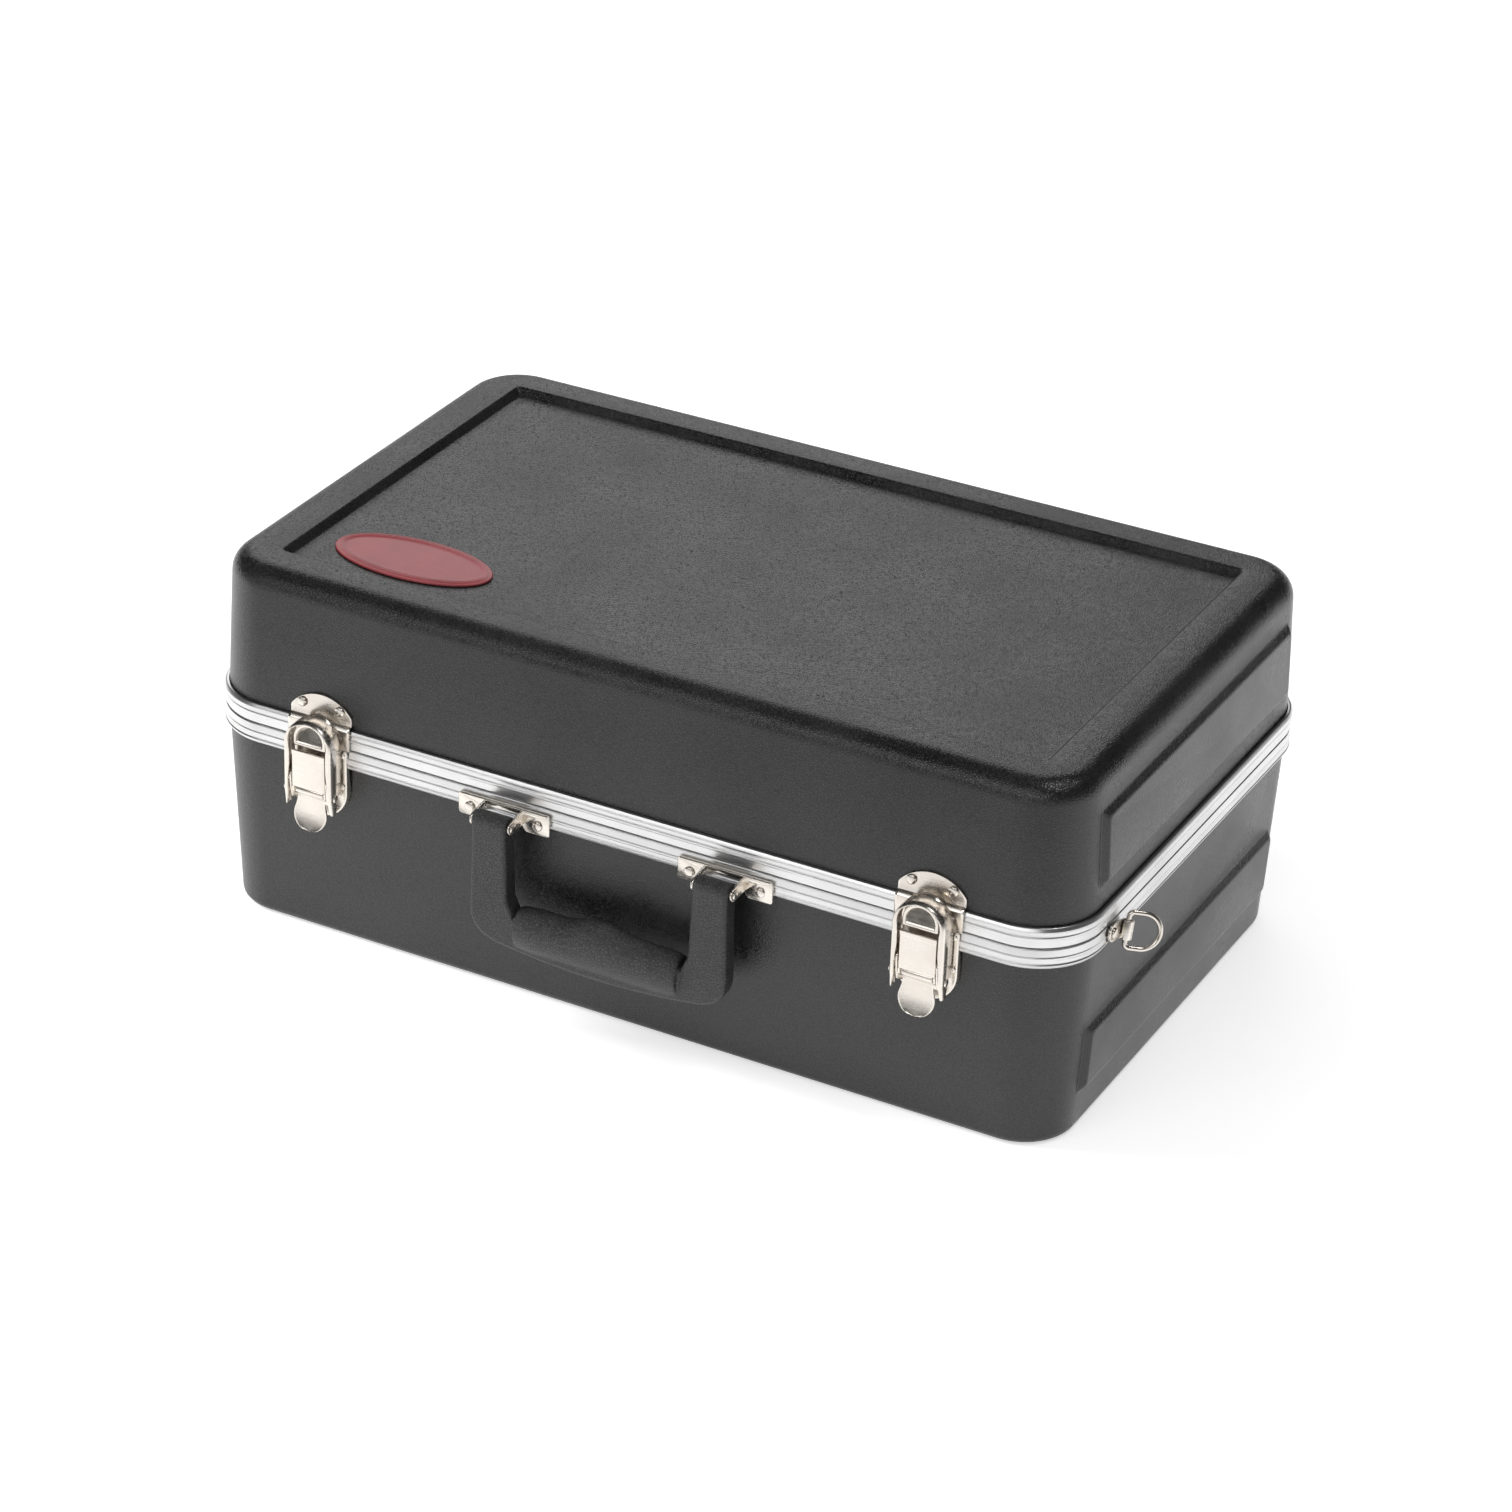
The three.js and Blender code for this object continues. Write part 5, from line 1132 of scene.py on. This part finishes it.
def knuckle(at, start, end):
    profile = [(1.4, start), (2.2, start), (2.4, start + 0.2), (2.4, end - 0.2), (2.2, end),
               (1.4, end)]
    return turned_along(at, *HINGE_AXIS, profile, 24)


def leaf_parts(at, up, knuckles):
    low, high = up * LEAF_LOW, up * LEAF_HIGH
    corners = [(-LEAF_HALF, low), (LEAF_HALF, low), (LEAF_HALF, high), (-LEAF_HALF, high)]
    parts = [pressed(at, rounded(corners, 1.2, 4), SHEET_BACK, SHEET_FRONT)]
    for start, end in knuckles:
        arm = [(start, 0.0), (end, 0.0), (end, up * 4.0), (start, up * 4.0)]
        parts += [pressed(at, arm, 0.25, 1.15), knuckle(at, start, end)]
    return parts


MIDDLE = [(-KNUCKLE + SLACK, KNUCKLE - SLACK)]
OUTER = [(-LEAF_HALF, -KNUCKLE - SLACK), (KNUCKLE + SLACK, LEAF_HALF)]
for side, x in (("left", -HINGE_X), ("right", HINGE_X)):
    at = back_wall(x)
    hardware("lid_leaf_" + side, leaf_parts(at, 1, MIDDLE), "lid",
             "hinge_leaf_lid_" + side, edge=0.18)
    hardware("base_leaf_" + side, leaf_parts(at, -1, OUTER), "case",
             "hinge_leaf_base_" + side, edge=0.18)
    hardware("hinge_pin_turned_" + side, [turned_along(at, *HINGE_AXIS, HINGE_PIN)], "case",
             "hinge_pin_" + side)
print("hinges: %d mm long, %d mm apart" % (LEAF_HALF * 2, HINGE_X * 2))

# %% [markdown]
# ## Fitted inside
# The inside is foam cut to the instrument and covered with plush. Foam under stretched cloth
# never keeps a crisp edge, so each block starts from the plain solid of the model, is melted
# into one skin, and smoothed until its edges round over. The skin ends slightly inside the
# solid, so the blocks stay clear of the shells.

# %% Padded blocks
def copy_of(node, name):
    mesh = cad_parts[node].data.copy()
    mesh.name = name
    obj = into_scene(name, mesh)
    weld = obj.modifiers.new("weld", "WELD")
    weld.merge_threshold = 0.00001
    apply_modifiers(obj)
    return obj


def nap(obj, depth, scale=55):
    """Pushes the skin in by a soft, uneven amount, like cloth over foam"""
    normals = [v.normal.copy() for v in obj.data.vertices]
    for vertex, normal in zip(obj.data.vertices, normals):
        wave = noise.noise(vertex.co * scale) * 0.5 + 0.5
        vertex.co -= normal * depth * MM * (0.3 + 0.7 * wave)


def padded_block(node, name, body, voxel, rounds, depth, fill):
    obj = melt(copy_of(node, name), voxel, rounds)
    nap(obj, depth)
    smooth_shading(obj, 80)
    settle(obj, plush, body, [node])
    return obj


# node of the model, piece, body, voxel size, rounds of smoothing, depth of the nap, fill
BLOCKS = [("base_insert", "instrument_bed", "case", 2.6, 5, 0.5, 0.9),
          ("pocket_block", "tray_and_mouthpiece_pockets", "case", 2.2, 5, 0.5, 0.9),
          ("accessory_block", "accessory_box_foam", "case", 2.2, 5, 0.5, 0.9),
          ("lid_lining", "lid_lining_padded", "lid", 2.3, 3, 0.3, 0.8)]
blocks = [padded_block(*row) for row in BLOCKS]
print("padded blocks:", [len(block.data.polygons) for block in blocks], "faces")

# %% [markdown]
# The accessory lid is a board with a thin pad over it, so it is crowned: flat below, full in
# the middle, and drawn down along its edges. A strip of leather, sewn to it, pulls it open.

# %% Accessory lid and its tab
STITCHES, STITCH_IN, STITCH_HALF = 9, (3.2, 2.2), 0.55


def box_in_mm(node):
    """Lowest and highest corner of a node, with heights counted from the split"""
    return [[v / MM - (SPLIT if k == 2 else 0) for k, v in enumerate(c)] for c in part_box(node)]


def cushion_parts(low, high, crown, edge, columns=40, rows=20):
    """A crowned pad in a box: its top swells by crown, its sides are rounded by edge"""
    top, bottom = [], []
    for v in steps_of(-1, 1, rows):
        for u in steps_of(-1, 1, columns):
            squeeze = edge * (1 - math.sqrt(max(0.0, 1 - max(abs(u), abs(v)) ** 10)))
            x = (low[0] + high[0]) / 2 + u * ((high[0] - low[0]) / 2 - squeeze * 0.2)
            y = (low[1] + high[1]) / 2 + v * ((high[1] - low[1]) / 2 - squeeze * 0.2)
            swell = (1 - u ** 6) * (1 - v ** 6)
            top.append((x, y, high[2] - crown * (1 - swell) - squeeze * 0.5))
            bottom.append((x, y, low[2]))
    across = columns + 1
    count = across * (rows + 1)
    faces = []
    for j in range(rows):
        for a in range(j * across, j * across + columns):
            quad = [a, a + 1, a + across + 1, a + across]
            faces += [quad, [count + q for q in quad[::-1]]]
    last = rows * across
    rim = list(range(across)) + [j * across + columns for j in range(1, rows + 1)]
    rim += [last + i for i in range(columns - 1, -1, -1)]
    rim += [j * across for j in range(rows - 1, 0, -1)]
    for a, b in zip(rim, rim[1:] + rim[:1]):
        faces.append([a, count + a, count + b, b])
    return [(top + bottom, faces)]


cushion = cushion_parts(*box_in_mm("accessory_lid"), crown=1.1, edge=1.8)
cover = make_piece("accessory_lid_padded", cushion, plush, "accessory_cover",
                   ["accessory_lid"], angle=60)

low, high = box_in_mm("accessory_tab")
corners = [(low[0], low[1]), (high[0], low[1]), (high[0], high[1]), (low[0], high[1])]
tab = [prism(rounded(corners, 5.0, 8), low[2], high[2], as_drawn)]
for i in range(STITCHES):
    x = low[0] + STITCH_IN[0] + i * (high[0] - low[0] - STITCH_IN[0] * 2) / (STITCHES - 1)
    y = low[1] + STITCH_IN[1]
    tab.append(thread([(x - STITCH_HALF, y, high[2] - 0.05), (x, y, high[2] + 0.12),
                       (x + STITCH_HALF, y, high[2] - 0.05)]))
make_piece("pull_tab", tab, leather, "accessory_cover", ["accessory_tab"],
           edge=0.25, angle=45)
print("accessory lid %.0f x %.0f mm" % (cover.dimensions.x / MM, cover.dimensions.y / MM))

# %% [markdown]
# ## Floor, light and camera
# The case stands on a plain pale floor in a white studio. The floor is white card lit by the
# lamps, and it glows a little for rays that come from the camera or from a reflection, so that it
# reads as clean white there and still keeps the shadow of the case. The glow grows from front
# to back.

# %% Floor
FLOOR_HALF, FLOOR_COLOR = 2.2, (0.85, 0.85, 0.85)
GLOW_FRONT, GLOW_BACK = 0.22, 0.5  # strengths
GLOW_FROM, GLOW_TO = -0.42, -0.22  # where it grows, along y


def camera_rays(nodes):
    return nodes.new("ShaderNodeLightPath").outputs["Is Camera Ray"]


def background_rays(nodes, links):
    """1 for rays from the camera, from a reflection or through glass, 0 for the rest"""
    rays = nodes.new("ShaderNodeLightPath").outputs
    reflected = combine(nodes, links, "MAXIMUM", rays["Is Glossy Ray"], rays["Is Transmission Ray"])
    return combine(nodes, links, "MAXIMUM", rays["Is Camera Ray"], reflected)


floor_mesh = bpy.data.meshes.new("studio_floor")
corners = ((-1, -1), (1, -1), (1, 1), (-1, 1))
floor_mesh.from_pydata([(x * FLOOR_HALF, y * FLOOR_HALF, 0) for x, y in corners], [], [range(4)])
floor = into_scene("studio_floor", floor_mesh)
floor_material, nodes, links, shader = new_material("studio_floor", FLOOR_COLOR, 0.9)
shader.inputs["Emission Color"].default_value = (1, 1, 1, 1)
place_on_floor = nodes.new("ShaderNodeSeparateXYZ")
links.new(own_space(nodes), place_on_floor.inputs["Vector"])
glow = remap(nodes, links, place_on_floor.outputs["Y"], GLOW_FROM, GLOW_TO, 0.0, GLOW_BACK)
in_front = combine(nodes, links, "MULTIPLY", camera_rays(nodes), GLOW_FRONT)
glow = combine(nodes, links, "MAXIMUM", glow, in_front)
links.new(combine(nodes, links, "MULTIPLY", background_rays(nodes, links), glow),
          shader.inputs["Emission Strength"])
floor_mesh.materials.append(floor_material)
print("floor: %.1f m square" % (2 * FLOOR_HALF))

# %% [markdown]
# Black plastic shows what stands round it more than its own colour. The room round the case is
# pale low down and dark above, with a few soft lights in it: a window behind, a white wall in
# front and a small box overhead. That is why the walls of the case look pale, its rolled edges
# go dark, and each edge carries one bright line. The lamp at the side is left out of
# reflections, so it lightens the floor and the dull parts and adds no glint.

# %% Lamps
def soft_lamp(name, place, aim, size, watts):
    data = bpy.data.lights.new(name, "AREA")
    data.shape = "RECTANGLE"
    data.size, data.size_y = size
    data.energy = watts
    lamp = into_scene(name, data)
    lamp.location = place
    lamp.rotation_euler = (Vector((0, 0, aim)) - Vector(place)).to_track_quat("-Z", "Y").to_euler()
    return lamp


# name, place in metres, height it is aimed at over the middle of the floor, size, watts
LAMPS = [("window_behind", (-1.2, 1.75, 1.26), 0.12, (1.7, 1.2), 9.5),
         ("white_wall_in_front", (-0.1, -2.3, 1.4), 0.1, (3.2, 0.8), 17),
         ("overhead", (0.8, -0.1, 1.95), 0.1, (0.5, 0.5), 6),
         ("side_light", (-2.0, -0.7, 1.7), 0.1, (0.9, 0.9), 40)]
lamps = [soft_lamp(*row) for row in LAMPS]
lamps[-1].visible_glossy = False
print("lamps:", [lamp.name for lamp in lamps])

# %% World
ROOM_LOW, ROOM_HIGH, ROOM_EDGE = 0.5, 0.06, 0.1  # strengths in reflections, and where it is dark
ROOM_LIGHT = 0.42  # strength of the light that falls on the object

world = bpy.data.worlds.new("studio")
world.use_nodes = True
bpy.context.scene.world = world
nodes, links = world.node_tree.nodes, world.node_tree.links
background = nodes["Background"]
background.inputs["Color"].default_value = (1, 1, 1, 1)
split_direction = nodes.new("ShaderNodeSeparateXYZ")
links.new(nodes.new("ShaderNodeTexCoord").outputs["Generated"], split_direction.inputs["Vector"])
room = remap(nodes, links, split_direction.outputs["Z"], 0.0, ROOM_EDGE, ROOM_LOW, ROOM_HIGH)
seen = combine(nodes, links, "MAXIMUM", room, camera_rays(nodes))
mix = nodes.new("ShaderNodeMix")
mix.inputs["A"].default_value = ROOM_LIGHT
links.new(background_rays(nodes, links), mix.inputs["Factor"])
links.new(seen, mix.inputs["B"])
links.new(mix.outputs["Result"], background.inputs["Strength"])
print("world: reflections see %.2f low down and %.2f above" % (ROOM_LOW, ROOM_HIGH))

# %% [markdown]
# The camera stands far away with a long lens, which keeps the long edges of the case nearly
# parallel. Its place is given as turns round the case and a distance, with a small roll,
# because that is how a photographer would describe it.

# %% Camera
turn, rise, roll = [math.radians(degrees) for degrees in (29.018, 28.713, 1.176)]
DISTANCE, ASIDE, RAISED = 2.07584, -0.067884, -0.021124  # metres from the middle of the split
away = Vector((math.sin(turn) * math.cos(rise), -math.cos(turn) * math.cos(rise), math.sin(rise)))
level = (-away).cross(Vector((0, 0, 1))).normalized()
upward = level.cross(-away)
right = level * math.cos(roll) + upward * math.sin(roll)
up = upward * math.cos(roll) - level * math.sin(roll)
place = away * DISTANCE + right * ASIDE + up * RAISED + Vector((0, 0, SPLIT * MM))
camera_data = bpy.data.cameras.new("camera")
camera_data.lens = 112.77
camera_data.sensor_width = 36.0
camera_data.shift_x = 0.1016
camera_data.clip_end = 50.0
camera = into_scene("camera", camera_data)
turned_to = Matrix((right, up, away)).transposed().to_4x4()
camera.matrix_world = Matrix.Translation(place) @ turned_to
bpy.context.scene.camera = camera
bpy.context.scene.view_settings.view_transform = "Standard"
print("camera at", [round(v, 3) for v in place])
